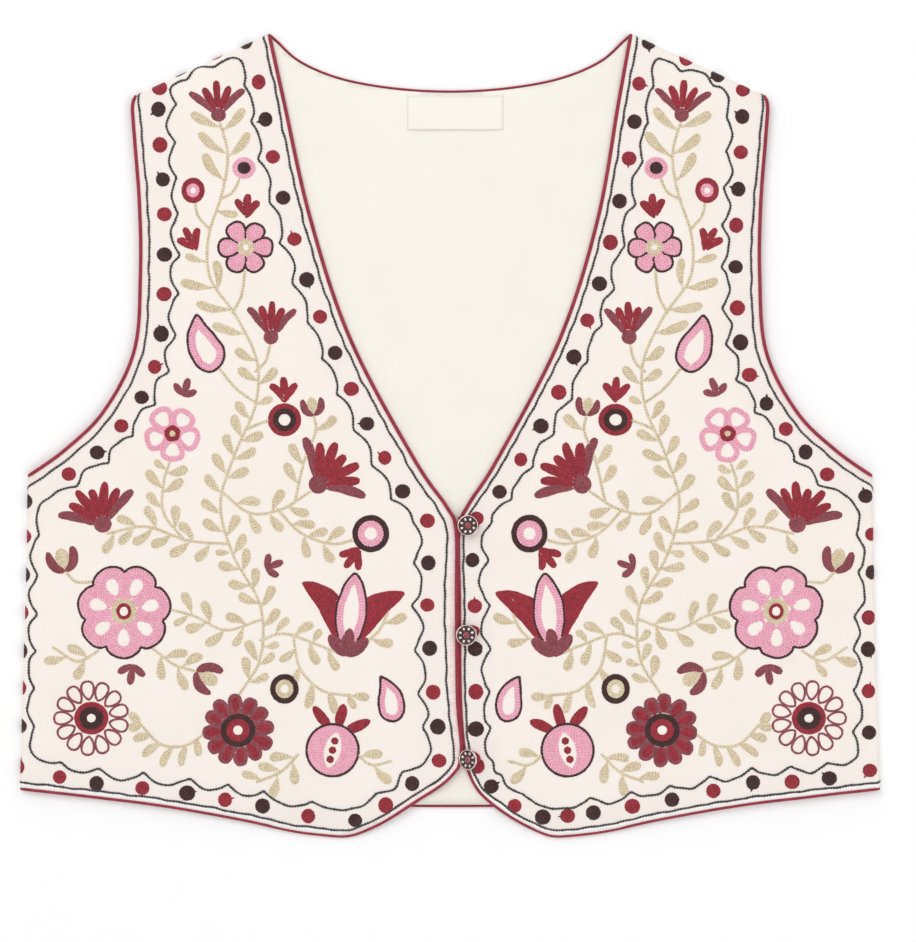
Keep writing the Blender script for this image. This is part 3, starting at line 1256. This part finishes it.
def inside(outline, places):
    """Which places are inside a closed line."""
    a, b = outline[None], np.roll(outline, -1, axis=0)[None]
    x, y = places[:, 0][:, None], places[:, 1][:, None]
    crosses = (a[..., 1] > y) != (b[..., 1] > y)
    rise = np.where(b[..., 1] == a[..., 1], 1.0, b[..., 1] - a[..., 1])
    at = a[..., 0] + (y - a[..., 1]) * (b[..., 0] - a[..., 0]) / rise
    return np.sum(crosses & (x < at), axis=1) % 2 == 1


def way(degrees):
    return np.array([math.cos(math.radians(degrees)), math.sin(math.radians(degrees))])


def nested(outline):
    """Rows that fill a closed outline from its edge inwards: each depth with the lines there.

    A point of the edge takes part down to the radius of the largest circle inside that touches it there.
    Where the last row leaves a gap along the middle, one more row lies in it.
    """
    whole = closed(outline)
    edge = resample(whole, max(24, int(lengths_along(whole)[-1] / EDGE_STEP)))[:-1]
    ahead, behind = np.roll(edge, -1, axis=0) - edge, edge - np.roll(edge, 1, axis=0)
    turn = math.copysign(1.0, np.sum(edge[:, 0] * ahead[:, 1] - edge[:, 1] * ahead[:, 0]))
    angles = np.arctan2(behind[:, 1], behind[:, 0]), np.arctan2(ahead[:, 1], ahead[:, 0])
    bends = (angles[1] - angles[0] + math.pi) % (2 * math.pi) - math.pi
    # A corner that points inwards sends out a fan of ways, so that rows go round it.
    places, ways = [], []
    for place, start, bend in zip(edge, angles[0], bends):
        count = max(1, math.ceil(-bend * turn / FAN_STEP))
        for share in (np.arange(count) + 0.5) / count:
            places.append(place)
            ways.append(start + bend * share)
    edge, ways = np.array(places), np.array(ways)
    inwards = turn * np.column_stack([-np.sin(ways), np.cos(ways)])
    gap = edge[None] - edge[:, None]
    square = (gap**2).sum(axis=2)
    rise = (gap * inwards[:, None]).sum(axis=2)
    usable = (square > 0.5) & (rise > 1e-6)
    reach = np.where(usable, square / (2 * np.where(usable, rise, 1.0)), NO_LIMIT)
    radius, partner = reach.min(axis=1), reach.argmin(axis=1)
    deepest = radius.max()
    spacing = deepest / max(1, round(deepest / ROW))
    depths = np.arange(spacing / 2, deepest, spacing)
    found = [(depth, runs_of(edge + inwards * depth, radius >= depth)) for depth in depths]
    left_over = (radius - spacing / 2) % spacing
    ridge = (left_over > 0.5 * spacing) & (partner > np.arange(len(edge))) & (radius > spacing / 2)
    for depth in depths:
        here = ridge & (radius >= depth) & (radius < depth + spacing)
        found.append((depth + 0.5 * spacing, runs_of(edge + inwards * radius[:, None], here)))
    return found


def runs_of(line, kept):
    """The stretches of a closed line that are kept, closed again where their ends meet."""
    kept = kept | (np.roll(kept, 1) & np.roll(kept, -1))
    if kept.all():
        return [closed(line)]
    # The count starts at a gap, so that no run is cut in two where the line closes.
    first = int(np.flatnonzero(~kept)[0])
    line, kept = np.roll(line, -first, axis=0), np.roll(kept, -first)
    bounds = np.flatnonzero(np.diff(np.concatenate([[0], kept.astype(int), [0]]))).reshape(-1, 2)
    rows = [line[start:end] for start, end in bounds if end - start > 1]
    rows = [row for row in rows if lengths_along(row)[-1] > SHORTEST_ROW]
    shut = [len(row) > 6 and np.linalg.norm(row[0] - row[-1]) < CLOSING_GAP for row in rows]
    return [closed(row) if closes else row for row, closes in zip(rows, shut)]


def petal(foot, tip, width, narrow=0.8, blunt=0.45, bend=0.0):
    """The outline of a petal or leaf: narrow thins its foot, and a low blunt rounds its tip.

    bend bows it to the left of the way from foot to tip.
    """
    foot, tip = np.array(foot, float), np.array(tip, float)
    t = (1 - np.cos(np.linspace(0, math.pi, 26))) / 2
    sideways = np.array([foot[1] - tip[1], tip[0] - foot[0]]) * bend
    spine = foot + t[:, None] * (tip - foot) + (4 * t * (1 - t))[:, None] * sideways
    widest = narrow / (narrow + blunt)
    reach = width / 2 * (t / widest) ** narrow * ((1 - t) / (1 - widest)) ** blunt
    across = normals_of(spine) * reach[:, None]
    return np.vstack([spine + across, (spine - across)[-2:0:-1]])


def disc(centre, radius):
    angles = 2 * math.pi * np.arange(40) / 40
    return np.array(centre, float) + radius * np.column_stack([np.cos(angles), np.sin(angles)])


def lobed(centre, radius, lobes, notch, turn):
    """The outline of a flower whose petals have grown together, with a notch between each two."""
    angles = np.linspace(0, 2 * math.pi, 24 * lobes, endpoint=False)
    reach = radius * (1 - notch * (1 - np.abs(np.cos(lobes * angles / 2)) ** 0.55))
    angles = angles + math.radians(turn)
    return np.array(centre, float) + reach[:, None] * np.column_stack([np.cos(angles), np.sin(angles)])


def ringed(work, centre, radius, bands):
    """A round shape in rings of thread. Each band is a thread and the depth at which it starts."""
    over = work.near(disc(centre, radius))
    spacing = radius / max(1, round(radius / ROW))
    squeeze = work.chance.uniform(0.95, 1.05)
    for depth in np.arange(spacing / 2, radius, spacing):
        thread_name = [name for name, start in bands if depth >= start][-1]
        ring = np.roll(disc((0, 0), radius - depth), work.chance.integers(40), axis=0)
        ring = ring * (squeeze, 1 / squeeze)
        work.line(thread_name, closed(ring) + centre, over, filling=True)
    work.shapes.append(disc(centre, radius))


def rose(work, centre, radius, lobes, turn):
    """A wide flower from its face: grown-together petals, each with a pale patch, round a ringed heart."""
    centre = np.array(centre, float)
    ringed(work, centre, 0.27 * radius, (("beige", 0), ("crimson", 0.10 * radius), ("open", 0.17 * radius)))
    for k in range(lobes):
        out = way(turn + 360 * k / lobes)
        start, tip = (centre + out * share * radius for share in (0.34, 0.76))
        work.bare(petal(start, tip, 0.30 * radius, 0.6, 0.4), "pink")
    work.fill(lobed(centre, radius, lobes, 0.16, turn), (("aubergine", 0), ("pink", 1.0)))


def rosette(work, centre, radius, petals, bands, heart, turn=0.0):
    """A flower from its face, with separate petals round a heart."""
    centre = np.array(centre, float)
    core = heart[0]
    ringed(work, centre, core, heart[1])
    width = 2 * math.sin(math.pi / petals) * (0.40 * core + 0.60 * radius)
    for k in range(petals):
        out = way(turn + 360 * k / petals + work.chance.uniform(-2, 2))
        tip = centre + out * radius * work.chance.uniform(0.97, 1.03)
        work.fill(petal(centre + out * (core - 2.4), tip, width, 0.6, 0.38), bands)


def tulip(work, foot, turn, size):
    """A tulip from the side: a pointed middle petal between two that flare."""
    foot = np.array(foot, float)
    for side in (-1, 0, 1):
        work.fill(petal(foot, foot + way(turn + side * 46) * size * 0.32, 0.15 * size, 0.6, 0.6), MAUVE)
    tip = foot + way(turn) * size * 0.98
    work.fill(
        petal(foot + way(turn) * 0.10 * size, tip, 0.37 * size, 0.6, 0.75),
        (("aubergine", 0), ("pink", 1.0), ("open", 0.09 * size)),
    )
    for side in (-1, 1):
        tip = foot + way(turn + side * 37) * size
        work.fill(petal(foot, tip, 0.31 * size, 0.62, 0.72, side * -0.15), CRIMSON)


def thistle(work, foot, turn, size, fingers, spread):
    """A thistle head from the side: rounded fingers that fan from a small cup."""
    foot = np.array(foot, float)
    ringed(work, foot + way(turn) * 0.16 * size, 0.17 * size, MAUVE)
    for k in range(fingers):
        lean = (k / (fingers - 1) - 0.5) * 2 * spread
        start = foot + way(turn + 0.62 * lean) * 0.27 * size
        tip = foot + way(turn + 0.85 * lean) * size * (1.0 - 0.10 * (k % 2))
        threads = MAUVE if k in (0, fingers - 1) else CRIMSON
        work.fill(petal(start, tip, 0.172 * size, 0.5, 0.30, -0.0012 * lean), threads)


def bud(work, foot, turn, size):
    """A small bud: two sides that cup a pale tongue."""
    foot = np.array(foot, float)
    for side in (-1, 1):
        tip = foot + way(turn + side * 27) * size
        work.fill(petal(foot, tip, 0.35 * size, 0.5, 0.42, side * 0.20), MAUVE)
    start, tip = (foot + way(turn) * share * size for share in (0.12, 0.92))
    work.fill(petal(start, tip, 0.52 * size, 0.6, 0.5), BEIGE)


def pomegranate(work, foot, turn, size):
    """A round fruit that is split to show its seeds, with a crown of three points."""
    foot = np.array(foot, float)
    middle = foot + way(turn) * 0.38 * size
    for k in range(3):
        ringed(work, middle + way(turn) * (k - 1) * 0.13 * size, 0.052 * size, CRIMSON)
    start, tip = (middle + way(turn) * s * 0.27 * size for s in (-1, 1))
    work.bare(petal(start, tip, 0.26 * size, 0.7, 0.7), "pink")
    ringed(work, middle, 0.37 * size, (("aubergine", 0), ("pink", 1.0)))
    for lean in (-38, 0, 38):
        start = middle + way(turn + lean * 0.5) * 0.30 * size
        work.fill(petal(start, middle + way(turn + lean) * 0.66 * size, 0.14 * size, 0.5, 0.5), CRIMSON)


def drop(work, foot, turn, size, bend):
    """A bent drop in a dark line, with a pale heart."""
    foot = np.array(foot, float)
    work.fill(
        petal(foot, foot + way(turn) * size, 0.58 * size, 0.42, 0.85, bend),
        (("aubergine", 0), ("pink", 1.0), ("open", 0.15 * size)),
    )


def daisy(work, centre, inner, outer, loops):
    """Open loops of a single row, round a ringed heart."""
    centre = np.array(centre, float)
    ringed(work, centre, inner, (("crimson", 0), ("aubergine", 0.34 * inner), ("open", 0.68 * inner)))
    width = 2 * math.pi * outer / loops * 0.70
    for k in range(loops):
        out = way(360 * (k + 0.5) / loops)
        loop_line = petal(centre + out * (inner + 1.2), centre + out * outer, width, 0.7, 0.4)
        work.line("mauve", closed(loop_line), filling=True)
    work.shapes.append(disc(centre, outer))


def sprig(work, foot, turn, size):
    """Three little leaves that spread from one foot."""
    foot = np.array(foot, float)
    for lean, share in ((-54, 0.80), (0, 1.0), (54, 0.80)):
        work.fill(petal(foot, foot + way(turn + lean) * size * share, 0.36 * size, 0.7, 0.45), MAUVE)


def fingers(work, foot, turn, size, count, spread, threads):
    """A tuft of rounded fingers."""
    foot = np.array(foot, float)
    for k in range(count):
        lean = (k / (count - 1) - 0.5) * 2 * spread
        tip = foot + way(turn + lean) * size * (1 - 0.12 * abs(lean) / spread)
        work.fill(petal(foot, tip, 4.4, 0.55, 0.30, -0.002 * lean), threads)
    # What is still bare between the fingers near their foot
    ringed(work, foot + way(turn) * 5.0, 2.8, threads)


def stem(work, line):
    """Two rows side by side along a line."""
    over = work.near(line)
    sideways = normals_of(line) * STEM_SPREAD
    for shift in (sideways, -sideways):
        work.line("beige", line + shift, over, filling=True)
    marks = np.arange(0.0, lengths_along(line)[-1], STEM_MARKS)
    work.stems = np.vstack([work.stems, at_lengths(line, marks)])


def heading(line, place):
    """The point at a length along a line, and the way that the line takes there, in degrees."""
    at, ahead = at_lengths(line, [place, min(place + HEADING_STEP, lengths_along(line)[-1])])
    return at, math.degrees(math.atan2(*(ahead - at)[::-1]))


def leaves(work, points, reach=13.0, step=11.5, first=9.0, last=5.0):
    """A leaf on each side of a stem at every step, smaller or left out where there is no room."""
    line = spline(points, STEM_STEPS)
    for place in np.arange(first, lengths_along(line)[-1] - last, step):
        for side in (-1, 1):
            at, along = heading(line, place + side)
            lean_by = work.chance.uniform(-5, 5)
            size_by = work.chance.uniform(0.94, 1.06)
            for lean, share in LEAF_TRIES:
                out = way(along + side * (lean + lean_by))
                foot = at + out * 0.8
                width = LEAF_WIDTH * (0.4 + 0.6 * share)
                outline = petal(foot, foot + out * reach * share * size_by, width, 1.0, 0.40, side * 0.07)
                if work.free(outline[np.linalg.norm(outline - foot, axis=1) > 4.5], LEAF_GAP):
                    work.fill(outline, BEIGE)
                    break


def comb(work, points, longest, side, count):
    """A curved rib with a comb of leaves along one side and a leaf at its end."""
    line = spline(points, STEM_STEPS)
    total = lengths_along(line)[-1]
    work.fill(petal(line[-1], line[-1] + unit(line[-1] - line[-3]) * 0.6 * longest, 5.0, 0.6, 0.42), BEIGE)
    for k in range(count):
        share = (k + 0.7) / count
        at, along = heading(line, share * total)
        size = longest * (0.6 + 0.4 * math.sin(math.pi * min(1.0, share * 1.1)))
        tip = at + way(along + side * 62) * size
        work.fill(petal(at + way(along + side * 62) * 0.8, tip, 4.6, 0.55, 0.40, side * -0.08), BEIGE)
    stem(work, line)


def border_loop(half):
    """The closed line of the dots' middles, in metres, with each dot's place on it and its way inwards."""
    guides = np.array([row[:2] for row in DOT_GUIDES[half.name]]) * MM
    steps = [row[2] for row in DOT_GUIDES[half.name]]
    whole = spline(np.vstack([guides[-1], guides, guides[:2]]))
    dots, inwards = [], []
    for k, count in enumerate(steps):
        stretch = whole[SPLINE_STEPS * (k + 1) : SPLINE_STEPS * (k + 2) + 1]
        for place in resample(stretch, count)[:-1]:
            near = int(np.argmin(np.linalg.norm(stretch - place, axis=1)))
            near = min(max(near, 1), len(stretch) - 2)
            along = unit(stretch[near + 1] - stretch[near - 1])
            inwards.append(half.sign * np.array([-along[1], along[0]]))
            dots.append(place)
    return np.array(dots), np.array(inwards)


def border(work):
    """The plain line, the row of dots and the scalloped line round the edges of a front."""
    half = work.half
    chance = work.chance
    dots, inwards = border_loop(half)
    for k, place in enumerate(dots):
        run = k if k < FRONT_DOTS[half.name] else k - FRONT_DOTS[half.name]
        centre = work.drawn(place) + chance.uniform(-DOT_SHIFT, DOT_SHIFT, 2)
        bands = CRIMSON if run % 2 == 0 else AUBERGINE
        ringed(work, centre, DOT_RADIUS * chance.uniform(0.92, 1.05), bands)
        if chance.uniform() < TAIL_SHARE:
            out = way(chance.uniform(0, 360))
            tail = [centre + out * (DOT_RADIUS + reach) for reach in (-TAIL_LENGTH, TAIL_LENGTH)]
            work.line(bands[0][0], tail)

    cusps = np.array([k for k in range(len(dots)) if k not in NO_CUSP[half.name]])
    points = work.drawn(dots + inwards * SCALLOP_DEPTH)
    for k, place in CUSP_AT[half.name].items():
        points[k] = np.array(place) * (-half.sign, 1)
    points = points[cusps]
    line = []
    for k in range(len(points)):
        a, b = points[k], points[(k + 1) % len(points)]
        out = -unit(inwards[cusps[k]] + inwards[cusps[(k + 1) % len(points)]]) * (-half.sign, 1)
        t = np.linspace(0, 1, 15)[:-1, None]
        turns_corner = cusps[k] + 1 in NO_CUSP[half.name]
        share = CORNER_SHARE if turns_corner else NECK_SHARE if cusps[k] < NECK_DOTS else SCALLOP_SHARE
        bulge = CORNER_BULGE[half.name].get(cusps[k], min(share * np.linalg.norm(b - a), BULGE_LIMIT))
        line.append(a + t * (b - a) + out * bulge * np.sin(math.pi * t) ** (0.75 if turns_corner else 0.95))
    work.field = np.vstack(line)
    line = closed(work.field)
    work.line("charcoal", line + wobble(line, chance, SCALLOP_WANDER))

    edge = half.at("edge", inset_at(half.edge, EDGE_LINE_INSET[half.name]))
    hem = half.at("hem", HEM_LINE_INSET)
    beyond = (half.at("shoulder", -LINE_BEYOND), half.at("side", -LINE_BEYOND))
    run = between(edge, beyond[0], hem)
    low = between(hem, beyond[1], edge)
    beside = half.at("armhole_beside", inset_at(half.armhole_beside, ARMHOLE_LINE_INSET[half.name]))
    armhole = between(beside, *beyond)
    for line in (np.vstack([run, low[::-1][1:]]), armhole):
        line = work.drawn(softened(line))
        work.line("charcoal", line + wobble(line, chance, PLAIN_WANDER))


def inset_at(line, table):
    """How far in a plain line runs at each point of an edge, from a table by height."""
    heights, insets = zip(*table)
    return np.interp(line[:, 1], heights[::-1], insets[::-1])[:, None] * MM


def softened(line, step=0.0015, rounds=3):
    """The line at even steps, with its corners rounded a little."""
    return rounded(resample(line, int(lengths_along(line)[-1] / step)), rounds)


def wobble(line, chance, size):
    """The small wander of a line that is stitched by hand. It closes where the line does."""
    along = lengths_along(line)
    shift = np.zeros((len(line), 2))
    for wave in WANDER_WAVES:
        turns = max(1, round(along[-1] / wave))
        for axis in (0, 1):
            phase = 2 * math.pi * turns * along / along[-1] + chance.uniform(0, 6)
            shift[:, axis] += size / 3 * np.sin(phase)
    return shift


def stitch_form(filling):
    """One chain stitch: two strands that part and meet again, as its corners and triangles.

    Its length runs from 0 to 1 along X, and its breadth and height are in metres. In a filling the thread
    of the rows below shows between the strands.
    """
    mesh = bmesh.new()
    for side in (-1, 1):
        strand = bmesh.ops.create_uvsphere(mesh, u_segments=4, v_segments=2, radius=1.0)["verts"]
        lying = Matrix.Rotation(math.radians(90), 3, "Y")
        bmesh.ops.rotate(mesh, verts=strand, cent=(0, 0, 0), matrix=lying)
        bmesh.ops.scale(mesh, verts=strand, vec=STRAND_HALF_SIZE)
        for vertex in strand:
            x = vertex.co.x
            vertex.co.y += side * max(STRAND_CLOSEST, STRAND_SPREAD * (1.0 - 0.9 * abs(x)))
            vertex.co.z += STRAND_RISE - STRAND_TILT * x
            vertex.co.x += 0.5
    bmesh.ops.recalc_face_normals(mesh, faces=mesh.faces)
    if filling:
        below = bmesh.ops.create_grid(mesh, x_segments=1, y_segments=1, size=0.5)["verts"]
        bmesh.ops.scale(mesh, verts=below, vec=(BELOW_LENGTH, ROW * MM * BELOW_WIDTH, 1.0))
        bmesh.ops.translate(mesh, verts=below, vec=(0.5, 0, STRAND_RISE * 0.9))
    bmesh.ops.triangulate(mesh, faces=mesh.faces)
    mesh.verts.ensure_lookup_table()
    corners = np.array([v.co for v in mesh.verts])
    faces = np.array([[v.index for v in f.verts] for f in mesh.faces])
    mesh.free()
    return corners, faces


def placed(work, runs, corners, breadth):
    """The corners of every stitch of the runs where they lie on the front's cloth, and their shades."""
    half = work.half
    start, end = (np.vstack([run[key] for run in runs]) * (-half.sign * MM, MM) for key in ("start", "end"))
    shade = np.concatenate([np.full(len(run["start"]), run["shade"]) for run in runs])
    middle = (start + end) / 2
    kept = half.past_fold(middle)[0] < STITCH_LIMIT
    start, end, middle, shade = start[kept], end[kept], middle[kept], shade[kept]
    sideways = end - start
    sideways = units(np.column_stack([-sideways[:, 1], sideways[:, 0]])) * CLOTH_STEP
    first, last = on_front(half, start, 0.0), on_front(half, end, 0.0)
    along = last - first
    across = units(on_front(half, middle + sideways, 0.0) - on_front(half, middle - sideways, 0.0))
    up = units(np.cross(along, across))
    count = len(first)
    lean = work.chance.normal(0.0, STITCH_LEAN, count)[:, None] * STITCH * MM
    thick = breadth * work.chance.uniform(*STITCH_BREADTH, count)[:, None]
    u = corners[None, :, 0, None]
    v = (corners[:, 1] * thick + (corners[:, 0] - 0.5) * lean)[..., None]
    w = (corners[:, 2] * thick)[..., None]
    places = first[:, None] + u * along[:, None] + v * across[:, None] + w * up[:, None]
    return places.reshape(-1, 3), np.clip(shade + work.chance.uniform(0.0, 0.7, count), 0, 1)


def lay_stitches(work, finishes):
    """Lays every stitch on the front's cloth, as joined meshes with one for each thread."""
    made = []
    for thread_name in THREADS:
        places, triangles, shades = np.empty((0, 3)), np.empty((0, 3), int), np.empty(0)
        for filling in (True, False):
            runs = [r for r in work.runs if r["thread"] == thread_name and r["filling"] == filling]
            if not runs:
                continue
            corners, faces = stitch_form(filling)
            laid, shade = placed(work, runs, corners, THREAD_BREADTH.get(thread_name, 1.0))
            index = faces[None] + (np.arange(len(shade)) * len(corners))[:, None, None] + len(places)
            places = np.vstack([places, laid])
            triangles = np.vstack([triangles, index.reshape(-1, 3)])
            shades = np.concatenate([shades, np.repeat(shade, len(corners))])
        data = bpy.data.meshes.new("stitches_" + thread_name + "_" + work.half.name)
        data.from_pydata(places, [], triangles)
        add_attribute(data, "shade", shades)
        data.materials.append(finishes[thread_name])
        data.shade_smooth()
        piece = keep_object(data.name, data)
        made.append(piece)
    return made


def field(work):
    """The flowers of the field: a scrolling stem with blossoms of many kinds, in millimetres."""
    rose(work, (-189.0, -101.0), 27.5, 7, 12)
    rosette(
        work,
        (-123.0, -170.0),
        21.0,
        12,
        (("mauve", 0), ("crimson", 1.9)),
        (9.8, (("aubergine", 0), ("crimson", 3.0), ("open", 6.6))),
        turn=5,
    )
    open_petals, rimmed_petals = (("pink", 0), ("open", 2.8)), (("aubergine", 0), ("pink", 1.0))
    rosette(work, (-161.0, 2.0), 16.5, 5, open_petals, (4.8, (("crimson", 0), ("beige", 2.8))), 54)
    rosette(work, (-118.5, 110.0), 16.0, 6, rimmed_petals, (4.8, (("beige", 0), ("open", 2.8))))
    daisy(work, (-208.0, -163.0), 9.6, 21.5, 13)
    tulip(work, (-60.0, -127.0), 84, 50.0)
    pomegranate(work, (-72.0, -197.0), 76, 42.0)
    thistle(work, (-200.0, -55.0), 108, 29.0, 7, 62)
    thistle(work, (-80.0, -31.0), 46, 31.0, 7, 62)
    drop(work, (-134.0, 40.0), 112, 34.0, 0.10)
    drop(work, (-35.0, -165.0), 102, 27.0, -0.12)
    thistle(work, (-104.0, 54.0), 88, 25.0, 5, 40)
    thistle(work, (-134.0, 183.0), 94, 24.0, 5, 50)
    bud(work, (-223.0, -78.0), 104, 15.0)
    bud(work, (-147.0, -136.0), 330, 15.0)
    bud(work, (-79.0, 12.5), 98, 11.5)
    ringed(work, (-46.0, -56.0), 10.5, (("aubergine", 0), ("pink", 3.0), ("open", 6.6)))
    ringed(work, (-96.0, 10.0), 9.5, (("crimson", 0), ("aubergine", 2.6), ("open", 5.6)))
    ringed(work, (-149.0, 143.0), 7.0, (("crimson", 0), ("pink", 2.6), ("open", 4.8)))
    ringed(work, (-119.5, 156.0), 6.4, (("pink", 0), ("aubergine", 3.0)))
    ringed(work, (-96.0, -146.0), 8.2, (("aubergine", 0), ("beige", 2.7), ("open", 5.2)))
    fingers(work, (-52.0, -64.0), 232, 15.0, 3, 34, CRIMSON)
    fingers(work, (-96.0, 20.0), 92, 15.0, 3, 36, CRIMSON)
    sprig(work, (-184.0, -132.0), 262, 12.0)
    sprig(work, (-155.0, 24.0), 70, 11.0)
    sprig(work, (-107.0, -76.0), 20, 11.0)
    fingers(work, (-147.0, 108.0), 118, 15.0, 3, 32, CRIMSON)
    fingers(work, (-118.5, 127.0), 84, 14.0, 3, 34, CRIMSON)

    comb(work, ((-142.0, -172.0), (-154.0, -179.0), (-168.0, -178.0), (-180.0, -166.0)), 13.5, 1, 6)
    comb(work, ((-91.0, -115.0), (-87.0, -134.0), (-74.0, -147.0), (-56.0, -150.0)), 15.0, -1, 5)

    trunk = (
        (-122.0, -149.0), (-110.0, -128.0), (-110.0, -98.0), (-126.0, -68.0), (-133.0, -38.0),
        (-124.0, -8.0), (-113.0, 18.0), (-112.0, 44.0), (-124.0, 70.0), (-139.0, 92.0), (-140.0, 116.0),
        (-132.0, 142.0), (-129.0, 164.0), (-134.0, 184.0),
    )
    stem(work, spline(trunk, STEM_STEPS))
    # The stalks that end in a blossom at once have no leaves.
    bare = (
        ((-119.0, 4.0), (-110.0, 8.0), (-103.0, 10.0)),
        ((-113.0, 20.0), (-124.0, 28.0), (-134.0, 40.0)),
        ((-113.0, 38.0), (-107.0, 44.0), (-104.0, 55.0)),
        ((-126.0, 72.0), (-121.0, 82.0), (-119.0, 96.0)),
        ((-139.0, 120.0), (-146.0, 128.0), (-148.0, 137.0)),
        ((-133.0, 138.0), (-126.0, 142.0), (-121.5, 151.0)),
        ((-208.0, -84.0), (-217.0, -84.0), (-223.0, -78.0)),
    )
    leafy = (
        {"points": ((-110.0, -106.0), (-130.0, -112.0), (-148.0, -104.0), (-162.0, -100.0)), "first": 9.0},
        {"points": ((-128.0, -62.0), (-152.0, -60.0), (-176.0, -52.0), (-199.0, -56.0)), "first": 10.0},
        {"points": ((-154.0, -60.0), (-166.0, -44.0), (-166.0, -26.0), (-162.0, -13.0)), "first": 10.0},
        {"points": ((-132.0, -32.0), (-116.0, -44.0), (-98.0, -42.0), (-80.0, -31.0)), "first": 9.0},
        {"points": ((-100.0, -42.0), (-86.0, -56.0), (-68.0, -62.0), (-54.0, -59.0)), "first": 11.0},
        {"points": ((-110.0, -118.0), (-96.0, -114.0), (-78.0, -120.0), (-61.0, -127.0)), "first": 8.0},
        {"points": ((-204.0, -124.0), (-216.0, -130.0), (-230.0, -122.0)), "first": 8.0, "last": 1.0},
        {"points": ((-172.0, -123.0), (-160.0, -132.0), (-147.0, -136.0)), "first": 7.0},
        {"points": ((-90.0, -38.0), (-84.5, -14.0), (-78.0, 3.0), (-79.0, 12.5)), "first": 10.0},
        {"points": ((-56.0, -182.0), (-46.0, -190.0), (-34.0, -188.0)), "first": 4.0, "last": 0.0},
        {"points": ((-88.0, -184.0), (-98.0, -194.0), (-112.0, -200.0)), "first": 4.0, "last": 0.0},
        {"points": ((-50.0, -120.0), (-41.0, -112.0), (-35.0, -99.0)), "first": 6.0, "last": 1.0},
    )
    for points in (*bare, *(row["points"] for row in leafy)):
        stem(work, spline(points, STEM_STEPS))
    leaves(work, trunk, last=TRUNK_UPPER)
    # Above the waist the leaves are longer and further apart.
    leaves(work, trunk, reach=19.0, step=16.0, first=TRUNK_LOWER)
    for row in leafy:
        leaves(work, **row)


def lining_height(x, y):
    return swell(LINING_CREASES, x, y)


def back_height(x, y):
    return np.clip(swell(BACK_CREASES, x, y), 0.0, 0.0003)


def main():
    right, left = Half(-1), Half(1)
    halves = (right, left)
    cotton = shell_cotton()
    crimson_bias = piping_cloth()
    plain_cotton = woven_cloth("cream_cotton_back", *CREAM_COTTON)[0]
    lining_cotton = woven_cloth("ivory_lining_voile", *LINING_VOILE)[0]
    tape = woven_cloth("blank_label_tape", *LABEL_TAPE)[0]

    back = cloth_plate("back_shell", whole_outline(halves), 0.0, BACK_WALL, back_height, plain_cotton)
    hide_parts("back_panel")
    lining_bottom = LINING_TOP - LINING_WALL
    lining_outline = whole_outline(halves, FOLD_REACH + SEAM_GAP)
    lining = cloth_plate(
        "lining_shell", lining_outline, lining_bottom, LINING_WALL, lining_height, lining_cotton
    )
    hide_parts("back_lining")

    fronts = [front_shell(half, cotton) for half in halves]
    for half in halves:
        front_piping(half, crimson_bias)
        armhole_piping(half, crimson_bias)
    back_piping("back_neck", halves, "shoulder", NECK_TUCK, crimson_bias)
    back_piping("back_hem", halves, "side", 0.0, crimson_bias)

    metal = worn_metal()
    dark = enamel("aubergine_enamel", "#3A1019", "#1E0810")
    red = enamel("crimson_stone", "#B02A3C", "#801A28")
    for row in BUTTONS:
        button(row, metal, dark, red)
        loop(row, right, crimson_bias)
    tag = label(tape)

    finishes = {name: thread(name + "_thread", *colours) for name, colours in THREADS.items()}
    for half, seed in zip(halves, (11, 12)):
        work = Needlework(half, seed)
        border(work)
        field(work)
        lay_stitches(work, finishes)

    stage(floor_paper())


main()
